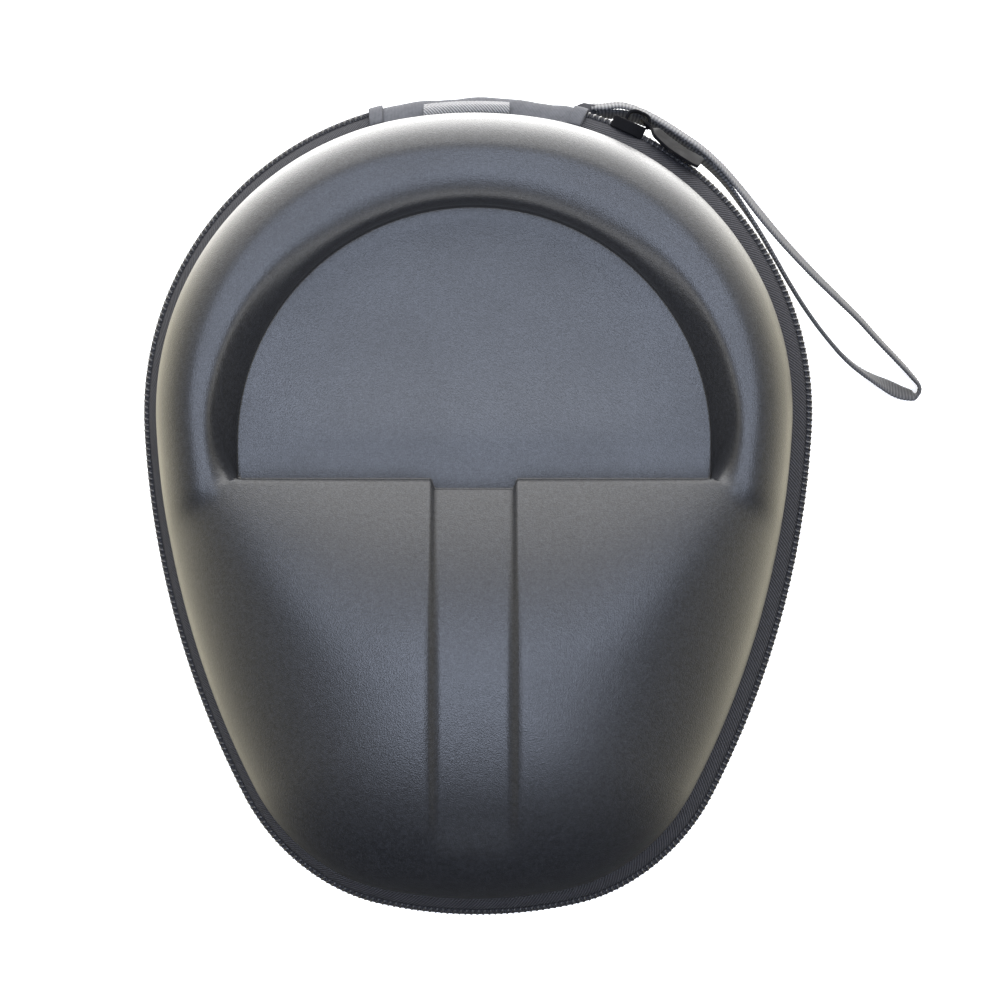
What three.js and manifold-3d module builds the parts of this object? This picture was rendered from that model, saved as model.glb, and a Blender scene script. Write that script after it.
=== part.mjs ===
// Moulded carrying case for over-ear headphones, lying on its back.
// X is the width, Y the height (hinge at +Y), Z the depth. Millimetres.
import * as THREE from "three";
import { mergeVertices } from "three/addons/utils/BufferGeometryUtils.js";
import Module from "manifold-3d";

const wasm = await Module();
wasm.setup();

// ---- driving dimensions ----
const TOP_Y = 119.9; // top of the zip outline
const OUTLINE_RADII = [128, 92, 264, 64, 54]; // tangent arcs of the right half, from the top down
const OUTLINE_BREAKS = [0, 10, 93, 117.4, 149.5, 167.5]; // normal angle from +Y where each arc starts
const SHELL_STEP = 5.7; // shell wall inside the zip line
const SHELL_SHIFT_X = -1; // shells sit a little left in the zip ring
const MID_Z = 50; // zip plane
const RIM_H = 7; // shell edge above or below the zip plane
const CROWN_H = 50; // highest point of the ear-cup block over the zip plane
const PANEL_H = 20; // recessed panel
const ARCH_H = 36; // headband arch crest
const BACK_H = 50; // flat back below the zip plane
const BACK_RECESS = 3; // shallow recess in the back
const PANEL_R = 68.3; // D-shaped panel
const PANEL_Y = 17.8; // centre of the panel's half circle
const STEP_Y = 7.5; // straight edge of the panel
const STRIP_HALF = 12; // centre strip half width
const STRIP_DEPTH = 1.8;
const STRIP_SETBACK = 2.9;
const STRIP_FADE = [-104, -88]; // strip runs out between these heights
const SHELL_T = 3;
const LINING_T = 0.8;
const GAP = 0.3; // between sewn pieces
const COIL_R = 1.2;
const COIL_H = 1.8; // coil centre from the zip plane
const TAPE_T = 0.8;
const HINGE_FROM = -16.2; // hinge cloth, normal angles in degrees
const HINGE_TO = 16.4;
const TAB_ANGLE = 2.6;
const END_GAP = 0.6; // degrees between the hinge cloth and the ends of the zip
const WEBBING_X = [-15.8, 9.2];
const SLIDER_ANGLE = 24.3;
const SLIDER_HALF = 5;
const PULLER_LENGTH = 21;
const PULLER_THICK = 1.8;
const STRAP_WIDTH = 10;
const STRAP_T = 1.2;
const rad = THREE.MathUtils.degToRad;

// ---- outline made of tangent arcs ----
function arcChain() {
  const arcs = [];
  let x = 0;
  let y = TOP_Y;
  OUTLINE_RADII.forEach((radius, i) => {
    const from = OUTLINE_BREAKS[i];
    const to = OUTLINE_BREAKS[i + 1];
    const cx = x - radius * Math.sin(rad(from));
    const cy = y - radius * Math.cos(rad(from));
    arcs.push({ cx, cy, radius, from, to });
    x = cx + radius * Math.sin(rad(to));
    y = cy + radius * Math.cos(rad(to));
  });
  const from = OUTLINE_BREAKS.at(-1);
  const radius = x / Math.sin(rad(from));
  arcs.push({ cx: 0, cy: y - radius * Math.cos(rad(from)), radius, from, to: 180 });
  return arcs;
}
const ARCS = arcChain();

// Point of the outline moved inward, at a signed normal angle in degrees.
function outlinePoint(angle, inset, shift = 0) {
  const side = angle < 0 ? -1 : 1;
  const a = Math.abs(angle);
  const arc = ARCS.find((one) => a <= one.to + 1e-9);
  const r = arc.radius - inset;
  return [shift + side * (arc.cx + r * Math.sin(rad(a))), arc.cy + r * Math.cos(rad(a))];
}
const shellPoint = (angle, inset) => outlinePoint(angle, SHELL_STEP + inset, SHELL_SHIFT_X);

// Distance inward from the shell outline.
function edgeDistance(x, y) {
  const ax = Math.abs(x - SHELL_SHIFT_X);
  let best = 1e3;
  for (const arc of ARCS) {
    const a = THREE.MathUtils.radToDeg(Math.atan2(ax - arc.cx, y - arc.cy));
    const inside = a >= arc.from - 0.5 && a <= arc.to + 0.5;
    if (inside) best = Math.min(best, arc.radius - SHELL_STEP - Math.hypot(ax - arc.cx, y - arc.cy));
  }
  return Math.max(0, best);
}

// ---- surface heights over the zip plane ----
const clamp01 = (v) => Math.min(1, Math.max(0, v));
const smoothstep = (v) => clamp01(v) ** 2 * (3 - 2 * clamp01(v));
const softMax = (a, b, k) => (a + b + Math.sqrt((a - b) ** 2 + k * k)) / 2;
const softMin = (a, b, k) => (a + b - Math.sqrt((a - b) ** 2 + k * k)) / 2;
const rise = (s, p, q) => (1 - (1 - clamp01(s)) ** p) ** (1 / q);

const ARCH_OUTER = 16.5;
const ARCH_INNER = 9.5;
const BLOCK_CREST_Y = -50;
const BLOCK_TOP_DROP = 14;
const BLOCK_EDGE_R = 2;
const BLOCK_W = 80;
const CREST_TURN = [25, 85]; // where the crest starts to turn, and over how far

function archHeight(x, y, d) {
  const beyond = y > PANEL_Y ? Math.hypot(x, y - PANEL_Y) - PANEL_R : Math.abs(x) - PANEL_R;
  const outer = RIM_H + (ARCH_H - RIM_H) * rise(d / ARCH_OUTER, 2, 2.4);
  const inner = PANEL_H + (ARCH_H - PANEL_H) * rise(Math.max(0, beyond) / ARCH_INNER, 2, 3);
  return softMin(outer, inner, 0.6);
}

// The crest runs level across the middle and turns up into the arch's legs.
function crestLine(x) {
  return BLOCK_CREST_Y + (STEP_Y - BLOCK_CREST_Y) * smoothstep((Math.abs(x) - CREST_TURN[0]) / CREST_TURN[1]);
}

function blockHeight(x, y, d) {
  const crest = crestLine(x);
  const v = Math.max(0, (y - crest) / (STEP_Y - crest));
  const drop = (BLOCK_TOP_DROP * (STEP_Y - crest)) / (STEP_Y - BLOCK_CREST_Y);
  const top = CROWN_H - drop * v ** 2.2;
  const below = clamp01((STEP_Y - y) / BLOCK_EDGE_R);
  const edge = BLOCK_EDGE_R * (1 - Math.sqrt(1 - (1 - below) ** 2));
  return RIM_H + (top - RIM_H) * rise(d / BLOCK_W, 3, 2.2) - edge;
}

// Height of everything below the panel's straight edge: the block, with the arch's legs run out into it.
function lowerHeight(x, y, d) {
  const fade = smoothstep((y + 34) / 40);
  const shoulder = RIM_H + (ARCH_H - RIM_H) * rise(d / ARCH_OUTER, 2, 2.4) * fade;
  const away = smoothstep((Math.abs(x) - 50) / 25);
  const body = softMax(blockHeight(x, y, d), RIM_H + (shoulder - RIM_H) * away, 2) - 0.2;
  const strip = 1 - smoothstep((Math.abs(x) - STRIP_HALF + 0.8) / 1.6);
  const run = smoothstep((y - STRIP_FADE[0]) / (STRIP_FADE[1] - STRIP_FADE[0]));
  return body - STRIP_DEPTH * strip * run;
}

// Height of the front over the zip plane; the legs turn into the block over a stretch that widens outward.
function frontHeight(worldX, y) {
  const x = worldX - SHELL_SHIFT_X;
  const d = edgeDistance(worldX, y);
  if (d < 0.01) return RIM_H;
  const outward = Math.abs(x) - PANEL_R;
  if (outward < 0.01) return y > STEP_Y + 0.01 ? archHeight(x, y, d) : Math.max(RIM_H, lowerHeight(x, y, d));
  const reach = 0.6 + 0.8 * outward;
  const above = smoothstep((y - STEP_Y + reach) / (2 * reach));
  const low = lowerHeight(x, Math.min(y, STEP_Y), d);
  return Math.max(RIM_H, low + (archHeight(x, y, d) - low) * above);
}

function backHeight(worldX, y) {
  const d = edgeDistance(worldX, y);
  return RIM_H + (BACK_H - RIM_H) * rise(d / 18, 2.4, 1.8);
}

// ---- columns and rings of the moulded surfaces ----
const footAngle = (x) => 180 - THREE.MathUtils.radToDeg(Math.asin(x / (ARCS.at(-1).radius - SHELL_STEP)));
const CORNER_ANGLE = 99;
const RIGHT_ANGLES = [
  0, 5, 10, 18, 26, 34, 42, 50, 58, 66, 74, 82, 90, CORNER_ANGLE, 103, 108, 113, 119, 127, 135, 143, 151, 159, 166,
  footAngle(STRIP_HALF + 0.8),
  footAngle(STRIP_HALF - 0.8),
  180,
];
const LOOP = [...RIGHT_ANGLES, ...RIGHT_ANGLES.slice(1, -1).reverse().map((a) => -a)];

// Edge of the D panel for a signed normal angle, moved outward by grow.
function panelPoint(angle, grow, setbackDepth = STRIP_SETBACK) {
  const side = angle < 0 ? -1 : 1;
  const a = Math.abs(angle);
  const r = PANEL_R + grow;
  if (a <= 90) return [SHELL_SHIFT_X + side * r * Math.sin(rad(a)), PANEL_Y + r * Math.cos(rad(a))];
  if (a <= CORNER_ANGLE) {
    const f = (a - 90) / (CORNER_ANGLE - 90);
    return [SHELL_SHIFT_X + side * r, PANEL_Y + (STEP_Y - grow - PANEL_Y) * f];
  }
  const start = Math.abs(shellPoint(CORNER_ANGLE, 0)[0] - SHELL_SHIFT_X);
  const x = Math.abs(shellPoint(a, 0)[0] - SHELL_SHIFT_X);
  const keep = STRIP_HALF + 2;
  const mapped = x < keep ? x : keep + ((x - keep) * (r - keep)) / (start - keep);
  const setback = setbackDepth * (1 - smoothstep((x - STRIP_HALF + 0.8) / 1.6));
  return [SHELL_SHIFT_X + side * mapped, STEP_Y - grow - setback];
}

const NARROW = 26; // arch width that the ring spacing is drawn for
const FRONT_RINGS = [
  [0, 0],
  [1, 0.01],
  [3.5, 0.04],
  [7.5, 0.11],
  [12, 0.24],
  [16, 0.44],
  [19.5, 0.7],
  [23, 1],
  [25, 1],
  [26, 1],
];
const BACK_RINGS = [0, 1, 3.5, 7.5, 12.5, 18];

// Grid of rows (rings) of points for one surface of the front shell, inset from the outer face.
function frontSurface(inset) {
  const rows = FRONT_RINGS.map(([base, share]) =>
    LOOP.map((angle) => {
      const o = shellPoint(angle, 0);
      const c = panelPoint(angle, 0);
      const length = Math.hypot(o[0] - c[0], o[1] - c[1]);
      const u = Math.min(1, (base + share * (length - NARROW)) / length);
      const x = o[0] + (c[0] - o[0]) * u;
      const y = o[1] + (c[1] - o[1]) * u;
      const h = u === 0 ? RIM_H : frontHeight(x, y);
      const oi = shellPoint(angle, inset);
      const ci = panelPoint(angle, inset);
      const drop = inset * clamp01((h - RIM_H) / 6);
      return [oi[0] + (ci[0] - oi[0]) * u, oi[1] + (ci[1] - oi[1]) * u, MID_Z + h - drop];
    }),
  );
  const centre = [SHELL_SHIFT_X, PANEL_Y + 20];
  for (const share of [0.015, 0.5]) {
    rows.push(
      LOOP.map((angle) => {
        const c = panelPoint(angle, inset);
        return [
          c[0] + (centre[0] - c[0]) * share,
          c[1] + (centre[1] - c[1]) * share,
          MID_Z + PANEL_H - inset - 0.4,
        ];
      }),
    );
  }
  return { rows, centre: [...centre, MID_Z + PANEL_H - inset - 0.4] };
}

// The same for the rear shell: a flat back with a shallow D recess.
function backSurface(inset) {
  const rows = BACK_RINGS.map((d) =>
    LOOP.map((angle) => {
      const o = shellPoint(angle, d);
      const h = d === 0 ? RIM_H : backHeight(o[0], o[1]);
      const p = shellPoint(angle, inset + d * (1 - inset / 40));
      return [p[0], p[1], MID_Z - h + inset * clamp01((h - RIM_H) / 6)];
    }),
  );
  const centre = [SHELL_SHIFT_X, PANEL_Y + 20];
  for (const [grow, recess] of [
    [3 + inset, 0],
    [inset, BACK_RECESS],
  ]) {
    rows.push(
      LOOP.map((angle) => {
        const c = panelPoint(angle, grow - 8, 0);
        return [c[0], c[1], MID_Z - BACK_H + inset + recess];
      }),
    );
  }
  return { rows, centre: [...centre, MID_Z - BACK_H + inset + BACK_RECESS] };
}

// ---- mesh helpers ----
function geometryFrom(points, faces) {
  const geometry = new THREE.BufferGeometry();
  geometry.setAttribute("position", new THREE.Float32BufferAttribute(points.flat(), 3));
  geometry.setIndex(faces.flat());
  return geometry;
}

const quad = (a, b, c, d) => [
  [a, b, c],
  [a, c, d],
];

// Closed skin between an outer and an inner surface that share their columns.
function shellBetween(outer, inner, flip) {
  const points = [];
  const faces = [];
  const columns = LOOP.length;
  const addSurface = (surface) => {
    const start = points.length;
    points.push(...surface.rows.flat(), surface.centre);
    return start;
  };
  const join = (start, rowCount, reverse) => {
    const centre = start + rowCount * columns;
    for (let r = 0; r < rowCount; r++) {
      for (let c = 0; c < columns; c++) {
        const n = (c + 1) % columns;
        const a = start + r * columns + c;
        const b = start + r * columns + n;
        const made = r < rowCount - 1 ? quad(a, b, b + columns, a + columns) : [[a, b, centre]];
        faces.push(...made.map((f) => (reverse ? f.toReversed() : f)));
      }
    }
  };
  const outerStart = addSurface(outer);
  const innerStart = addSurface(inner);
  join(outerStart, outer.rows.length, !flip);
  join(innerStart, inner.rows.length, flip);
  for (let c = 0; c < columns; c++) {
    const n = (c + 1) % columns;
    const rim = quad(outerStart + c, outerStart + n, innerStart + n, innerStart + c);
    faces.push(...rim.map((f) => (flip ? f.toReversed() : f)));
  }
  return geometryFrom(points, faces);
}

// Triangles that fill one flat section, turning the same way as its outline.
function capFaces(section) {
  const points = section.map((p) => new THREE.Vector3(...p));
  const normal = new THREE.Vector3();
  points.forEach((p, i) => normal.add(p.clone().cross(points[(i + 1) % points.length])));
  normal.normalize();
  const across = points[1].clone().sub(points[0]).cross(normal).normalize();
  const along = normal.clone().cross(across);
  const flat = points.map((p) => new THREE.Vector2(p.dot(across), p.dot(along)));
  return THREE.ShapeUtils.triangulateShape(flat, []);
}

// Solid swept through a list of closed sections, each a list of points in the same order.
function loft(sections, closed) {
  const count = sections[0].length;
  const points = sections.flat();
  const faces = [];
  const last = closed ? sections.length : sections.length - 1;
  for (let s = 0; s < last; s++) {
    const next = (s + 1) % sections.length;
    for (let k = 0; k < count; k++) {
      const l = (k + 1) % count;
      faces.push(...quad(s * count + k, s * count + l, next * count + l, next * count + k));
    }
  }
  if (!closed) {
    const end = (sections.length - 1) * count;
    faces.push(...capFaces(sections[0]).map(([a, b, c]) => [a, c, b]));
    faces.push(...capFaces(sections.at(-1)).map((face) => face.map((k) => end + k)));
  }
  return facingOut(geometryFrom(points, faces));
}

function facingOut(geometry) {
  const p = geometry.getAttribute("position");
  const index = geometry.index;
  let volume = 0;
  const a = new THREE.Vector3();
  const b = new THREE.Vector3();
  const c = new THREE.Vector3();
  for (let i = 0; i < index.count; i += 3) {
    a.fromBufferAttribute(p, index.getX(i));
    b.fromBufferAttribute(p, index.getX(i + 1));
    c.fromBufferAttribute(p, index.getX(i + 2));
    volume += a.dot(b.cross(c));
  }
  if (volume < 0) index.array.reverse();
  return geometry;
}

function solidFrom(geometry) {
  const plain = geometry.index ? geometry.toNonIndexed() : geometry;
  plain.deleteAttribute("normal");
  plain.deleteAttribute("uv");
  const merged = mergeVertices(plain, 1e-4);
  return new wasm.Manifold(
    new wasm.Mesh({
      numProp: 3,
      vertProperties: merged.getAttribute("position").array,
      triVerts: new Uint32Array(merged.index.array),
    }),
  );
}

function geometryOf(solid) {
  const mesh = solid.getMesh();
  const geometry = new THREE.BufferGeometry();
  geometry.setAttribute("position", new THREE.BufferAttribute(mesh.vertProperties, 3));
  geometry.setIndex(new THREE.BufferAttribute(mesh.triVerts, 1));
  return geometry;
}

// Section corner: share 0 is on the zip line, 1 on the shell edge; d is further inward; h is over the zip plane.
function ringPoint(angle, [share, d, h]) {
  const zip = outlinePoint(angle, d);
  const shell = shellPoint(angle, d);
  return [zip[0] + (shell[0] - zip[0]) * share, zip[1] + (shell[1] - zip[1]) * share, MID_Z + h];
}

// Angles of the shared columns between two signed angles, going clockwise from one to the other.
function anglesBetween(from, to) {
  const span = (((to - from) % 360) + 360) % 360;
  const steps = LOOP.map((a) => [(((a - from) % 360) + 360) % 360, a]).filter(([s]) => s > 0.4 && s < span - 0.4);
  steps.sort((p, q) => p[0] - q[0]);
  return [from, ...steps.map(([, a]) => a), to];
}

const ringSweep = (section, angles) => loft(angles.map((a) => section.map((corner) => ringPoint(a, corner))), false);
const mirrored = (section) => section.map(([share, d, h]) => [share, d, -h]);
const fullRing = (section) => loft(LOOP.map((a) => section.map((corner) => ringPoint(a, corner))), true);

// ---- zip ring sections ----
const COIL_SECTION = Array.from({ length: 8 }, (_, i) => {
  const a = rad(22.5 + 45 * i);
  return [0, COIL_R + COIL_R * Math.cos(a), COIL_H + COIL_R * Math.sin(a)];
});
const TAPE_SECTION = [
  [0, 2 * COIL_R + GAP, COIL_H - 0.5],
  [1, -0.1, RIM_H - 0.5],
  [1, TAPE_T - 0.1, RIM_H - 0.5],
  [0, 2 * COIL_R + GAP + TAPE_T, COIL_H - 0.7],
];
const BINDING_FROM = 2.6; // leaves room for the hinge cloths under the shell edge
const BINDING_SECTION = [
  [1, BINDING_FROM, RIM_H - GAP],
  [1, SHELL_T + GAP + LINING_T + 0.6, RIM_H - GAP],
  [1, SHELL_T + GAP + LINING_T + 0.6, RIM_H - 1.3],
  [1, BINDING_FROM, RIM_H - 1.3],
];
const ZIP_ANGLES = anglesBetween(HINGE_TO + END_GAP, HINGE_FROM - END_GAP);
const HINGE_ANGLES = anglesBetween(HINGE_FROM, HINGE_TO);

// C section that bulges to the zip line and reaches both shell edges.
function hingeSection(inset, thick) {
  const top = RIM_H - 0.5;
  const line = [1, 0.8, 0.55, 0.25, -0.25, -0.55, -0.8, -1].map((f) => [f * f, f * top]);
  const outer = line.map(([share, h]) => [share, inset, h]);
  const inner = line.map(([share, h]) => [share, inset + thick, h]).reverse();
  return [...outer, ...inner];
}

function hingeCloth() {
  return ringSweep(hingeSection(0, 0.8), HINGE_ANGLES);
}

function hingeInnerCloth() {
  return ringSweep(hingeSection(1.5, 0.7), HINGE_ANGLES);
}

function endTab(side) {
  const base = side < 0 ? HINGE_FROM : HINGE_TO;
  const from = side < 0 ? base : base - TAB_ANGLE;
  const section = hingeSection(-1.8, 0.8);
  return ringSweep(section, [from, from + TAB_ANGLE / 2, from + TAB_ANGLE]);
}

// Folded hang loop of flat webbing, sewn into the front seam over the hinge cloth.
function webbingLoop() {
  const [from, to] = WEBBING_X;
  const section = [
    [5.3, 6.9],
    [2.6, 6.3],
    [1.7, 6.7],
    [1.5, 7.6],
    [2, 8.5],
    [2.9, 8.8],
    [5.3, 9.2],
    [5.3, 8.3],
    [3.2, 7.9],
    [3, 7.4],
    [5.3, 7.8],
  ];
  const steps = [0, 0.25, 0.5, 0.75, 1];
  return loft(
    steps.map((f) => {
      const x = from + (to - from) * f;
      const topY = outlinePoint(THREE.MathUtils.radToDeg(Math.asin(x / OUTLINE_RADII[0])), 0)[1];
      return section.map(([d, h]) => [x, topY - d, MID_Z + h]);
    }),
    false,
  );
}

// ---- slider and puller, drawn at the zip line and turned into place about the shoulder arc's centre ----
const SHOULDER = ARCS[1];
function boxAt(x, y, z) {
  const geometry = new THREE.BoxGeometry(x[1] - x[0], y[1] - y[0], z[1] - z[0]);
  geometry.translate((x[0] + x[1]) / 2, (y[0] + y[1]) / 2, (z[0] + z[1]) / 2);
  return geometry;
}

// Local frame: x along the zip (clockwise), y outward from the zip line, z over the zip plane.
function placeOnZip(geometry) {
  geometry.translate(0, SHOULDER.radius, 0);
  geometry.rotateZ(-rad(SLIDER_ANGLE));
  geometry.translate(SHOULDER.cx, SHOULDER.cy, MID_Z);
  return geometry;
}

const PLATE_OUT = [0.8, 2.1];
const BRIDGE_X = 1.6;
const PIVOT = [3.1, 3.9]; // puller pivot in the slider's frame, along and outward

function sliderBody() {
  const half = SLIDER_HALF;
  const flange = 4.6;
  const pieces = [
    boxAt([-half, half], PLATE_OUT, [-flange, flange]),
    boxAt([-half, half], [-1.9, PLATE_OUT[0] + 0.1], [3.7, flange]),
    boxAt([-half, half], [-1.9, PLATE_OUT[0] + 0.1], [-flange, -3.7]),
    boxAt([-half + 0.8, half - 2.6], [-5.8, -4.7], [-1.6, 1.6]),
    boxAt([-2, 1], [-4.9, PLATE_OUT[0] + 0.1], [-0.3, 0.3]),
    boxAt([-BRIDGE_X, -BRIDGE_X + 1.3], [PLATE_OUT[1] - 0.1, 5.6], [-1.7, 1.7]),
    boxAt([-BRIDGE_X, PIVOT[0] + 1.9], [5.2, 6.1], [-1.7, 1.7]),
    boxAt([PIVOT[0] + 1.2, PIVOT[0] + 1.9], [PLATE_OUT[1] - 0.1, 5.6], [-1.7, 1.7]),
  ];
  const whole = pieces.map(solidFrom).reduce((a, b) => a.add(b));
  return placeOnZip(geometryOf(whole));
}

// Flat puller with a round eye at the pivot, width along Z, leaning back onto the coil.
function zipPuller() {
  const lean = 6;
  const outline = new THREE.Shape();
  const reach = PULLER_LENGTH;
  const neck = 2.6;
  const wide = 4;
  outline.moveTo(-0.75, -neck);
  outline.lineTo(5, -neck);
  outline.lineTo(8, -wide);
  outline.lineTo(reach - 1.5, -wide);
  outline.lineTo(reach, -wide + 1.5);
  outline.lineTo(reach, wide - 1.5);
  outline.lineTo(reach - 1.5, wide);
  outline.lineTo(8, wide);
  outline.lineTo(5, neck);
  outline.lineTo(-0.75, neck);
  outline.closePath();
  const eye = new THREE.Path();
  eye.moveTo(0.75, -2.05);
  eye.lineTo(0.75, 2.05);
  eye.lineTo(3.7, 2.05);
  eye.lineTo(3.7, -2.05);
  eye.closePath();
  outline.holes.push(eye);
  const geometry = new THREE.ExtrudeGeometry(outline, { depth: PULLER_THICK * 0.8, bevelEnabled: false, steps: 1 });
  geometry.translate(0, 0, -PULLER_THICK * 0.4);
  geometry.rotateX(Math.PI / 2);
  geometry.rotateZ(-rad(lean));
  geometry.translate(PIVOT[0], PIVOT[1], 0);
  return placeOnZip(geometry);
}

// ---- wrist strap, a flat loop standing on edge ----
const STRAP_HIGH = 38.6; // height of its middle line beside the zip
const STRAP_LOW = STRAP_WIDTH / 2 + 0.3;
const STRAP_LIFT = 3.6; // between the two strands
const STRAP_ROUTE = [
  [33.5, 118.6],
  [36.6, 118.6],
  [42.7, 119],
  [48.7, 117.1],
  [54.3, 114.2],
  [60.3, 110.4],
  [66, 106.5],
  [72, 101.3],
  [78.2, 94.6],
  [84.4, 87.4],
  [90.8, 80.5],
  [97.2, 74.2],
  [103.6, 68.3],
  [110.1, 62.6],
  [116.6, 56.7],
  [123, 50.1],
  [128.7, 44.4],
  [132.9, 39.8],
  [135.3, 36.4],
  [134.6, 34],
  [130.6, 34.4],
  [123.5, 37.4],
  [116.7, 41.2],
  [111.2, 45.5],
  [104.5, 52.8],
  [98.7, 60.2],
  [93.5, 67.8],
  [88.7, 75.4],
  [84.2, 82.3],
  [78.9, 89.8],
  [73.4, 97],
  [68, 102.4],
  [62, 107.2],
  [56, 111.3],
  [50, 114.5],
  [43.5, 116.6],
  [37.5, 116.7],
  [34, 116.3],
];
const STRAP_TIP = 18; // route point at the far end of the loop

function strapHeight(i) {
  const along = i <= STRAP_TIP ? i / STRAP_TIP : (STRAP_ROUTE.length - 1 - i) / (STRAP_ROUTE.length - 1 - STRAP_TIP);
  const droop = smoothstep((along - 0.3) / 0.62);
  const middle = STRAP_HIGH + (STRAP_LOW - STRAP_HIGH) * droop;
  const back = clamp01((i - STRAP_TIP + 4) / 8);
  return middle - STRAP_LIFT * back * (1 - droop);
}

function wristStrap() {
  const middle = STRAP_ROUTE.map(([x, y], i) => new THREE.Vector3(x, y, strapHeight(i)));
  const curve = new THREE.CatmullRomCurve3(middle, false, "centripetal");
  const steps = 76;
  const sections = [];
  for (let i = 0; i <= steps; i++) {
    const p = curve.getPointAt(i / steps);
    const t = curve.getTangentAt(i / steps);
    const flat = Math.hypot(t.x, t.y);
    const nx = (-t.y / flat) * (STRAP_T / 2);
    const ny = (t.x / flat) * (STRAP_T / 2);
    const half = STRAP_WIDTH / 2;
    sections.push([
      [p.x + nx, p.y + ny, p.z + half],
      [p.x - nx, p.y - ny, p.z + half],
      [p.x - nx, p.y - ny, p.z - half],
      [p.x + nx, p.y + ny, p.z - half],
    ]);
  }
  return loft(sections, false);
}

// Folded cloth tab in the rear seam that holds both ends of the strap.
function strapAnchor() {
  const z = [STRAP_HIGH - STRAP_LIFT - 4.4, STRAP_HIGH + 3.6];
  const plan = [
    [26.5, 112.2],
    [33.3, 112.2],
    [33.3, 119.4],
    [29.5, 119],
    [26.5, 115.6],
  ];
  return loft(
    z.map((height) => plan.map(([x, y]) => [x, y, height])),
    false,
  );
}

// ---- inside the lid: a flat mesh pocket over the panel ----
const POCKET_R = 64;
const POCKET_Y = [STEP_Y + 12, PANEL_Y + POCKET_R];
const POCKET_H = PANEL_H - SHELL_T - GAP - LINING_T - 0.4;

function pocketPlan(radius, fromY) {
  const half = Math.sqrt(radius ** 2 - (fromY - PANEL_Y) ** 2);
  const start = Math.atan2(fromY - PANEL_Y, half);
  const count = 20;
  return Array.from({ length: count + 1 }, (_, i) => {
    const a = start + ((Math.PI - 2 * start) * i) / count;
    return [SHELL_SHIFT_X + radius * Math.cos(a), PANEL_Y + radius * Math.sin(a)];
  });
}

const slab = (plan, low, high) => loft([low, high].map((h) => plan.map(([x, y]) => [x, y, MID_Z + h])), false);

function meshPocket() {
  return slab(pocketPlan(POCKET_R - 3.3, POCKET_Y[0]), POCKET_H - 1.7, POCKET_H - 0.9);
}

function pocketElastic() {
  const half = Math.sqrt((POCKET_R - 1) ** 2 - (POCKET_Y[0] - PANEL_Y - 4) ** 2);
  const plan = [
    [SHELL_SHIFT_X - half, POCKET_Y[0] - GAP],
    [SHELL_SHIFT_X - half, POCKET_Y[0] - 8],
    [SHELL_SHIFT_X + half, POCKET_Y[0] - 8],
    [SHELL_SHIFT_X + half, POCKET_Y[0] - GAP],
  ];
  return slab(plan, POCKET_H - 2, POCKET_H - 0.6);
}

function pocketBinding() {
  const outer = pocketPlan(POCKET_R + 1.5, POCKET_Y[0]);
  const inner = pocketPlan(POCKET_R - 3, POCKET_Y[0]);
  const sections = outer.map(([x, y], i) => [
    [x, y, MID_Z + POCKET_H - 0.4],
    [inner[i][0], inner[i][1], MID_Z + POCKET_H - 0.4],
    [inner[i][0], inner[i][1], MID_Z + POCKET_H - 2],
    [x, y, MID_Z + POCKET_H - 2],
  ]);
  return loft(sections, false);
}

// ---- assembly ----
const liningInner = SHELL_T + GAP + LINING_T;
const MATERIALS = {
  leather: { color: 0x24262b, roughness: 0.45, metalness: 0 },
  lining: { color: 0x1d1d20, roughness: 0.95, metalness: 0 },
  tape: { color: 0x2b2c30, roughness: 0.9, metalness: 0 },
  coil: { color: 0x17171a, roughness: 0.4, metalness: 0 },
  cloth: { color: 0x4a4c52, roughness: 0.85, metalness: 0 },
  webbing: { color: 0x6d6e73, roughness: 0.8, metalness: 0 },
  metal: { color: 0x141416, roughness: 0.35, metalness: 0.6 },
  strap: { color: 0x3c3d42, roughness: 0.85, metalness: 0 },
  mesh: { color: 0x202024, roughness: 0.9, metalness: 0 },
};

const SUB_PARTS = [
  ["front_shell", shellBetween(frontSurface(0), frontSurface(SHELL_T), false), "leather"],
  ["front_lining", shellBetween(frontSurface(SHELL_T + GAP), frontSurface(liningInner), false), "lining"],
  ["front_zip_tape", ringSweep(TAPE_SECTION, ZIP_ANGLES), "tape"],
  ["front_zip_coil", ringSweep(COIL_SECTION, ZIP_ANGLES), "coil"],
  ["front_rim_binding", fullRing(BINDING_SECTION), "tape"],
  ["rear_shell", shellBetween(backSurface(0), backSurface(SHELL_T), true), "leather"],
  ["rear_lining", shellBetween(backSurface(SHELL_T + GAP), backSurface(liningInner), true), "lining"],
  ["rear_zip_tape", ringSweep(mirrored(TAPE_SECTION), ZIP_ANGLES), "tape"],
  ["rear_zip_coil", ringSweep(mirrored(COIL_SECTION), ZIP_ANGLES), "coil"],
  ["rear_rim_binding", fullRing(mirrored(BINDING_SECTION)), "tape"],
  ["hinge_cloth", hingeCloth(), "cloth"],
  ["hinge_inner_cloth", hingeInnerCloth(), "cloth"],
  ["zip_end_tab_left", endTab(-1), "cloth"],
  ["zip_end_tab_right", endTab(1), "cloth"],
  ["webbing_loop", webbingLoop(), "webbing"],
  ["zip_slider", sliderBody(), "metal"],
  ["zip_puller", zipPuller(), "metal"],
  ["strap_anchor", strapAnchor(), "cloth"],
  ["wrist_strap", wristStrap(), "strap"],
  ["mesh_pocket", meshPocket(), "mesh"],
  ["pocket_elastic", pocketElastic(), "strap"],
  ["pocket_binding", pocketBinding(), "tape"],
];

const headphoneCase = new THREE.Group();
for (const [name, geometry, look] of SUB_PARTS) {
  const mesh = new THREE.Mesh(geometry, new THREE.MeshStandardMaterial(MATERIALS[look]));
  mesh.name = name;
  headphoneCase.add(mesh);
}

export default headphoneCase;
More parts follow.
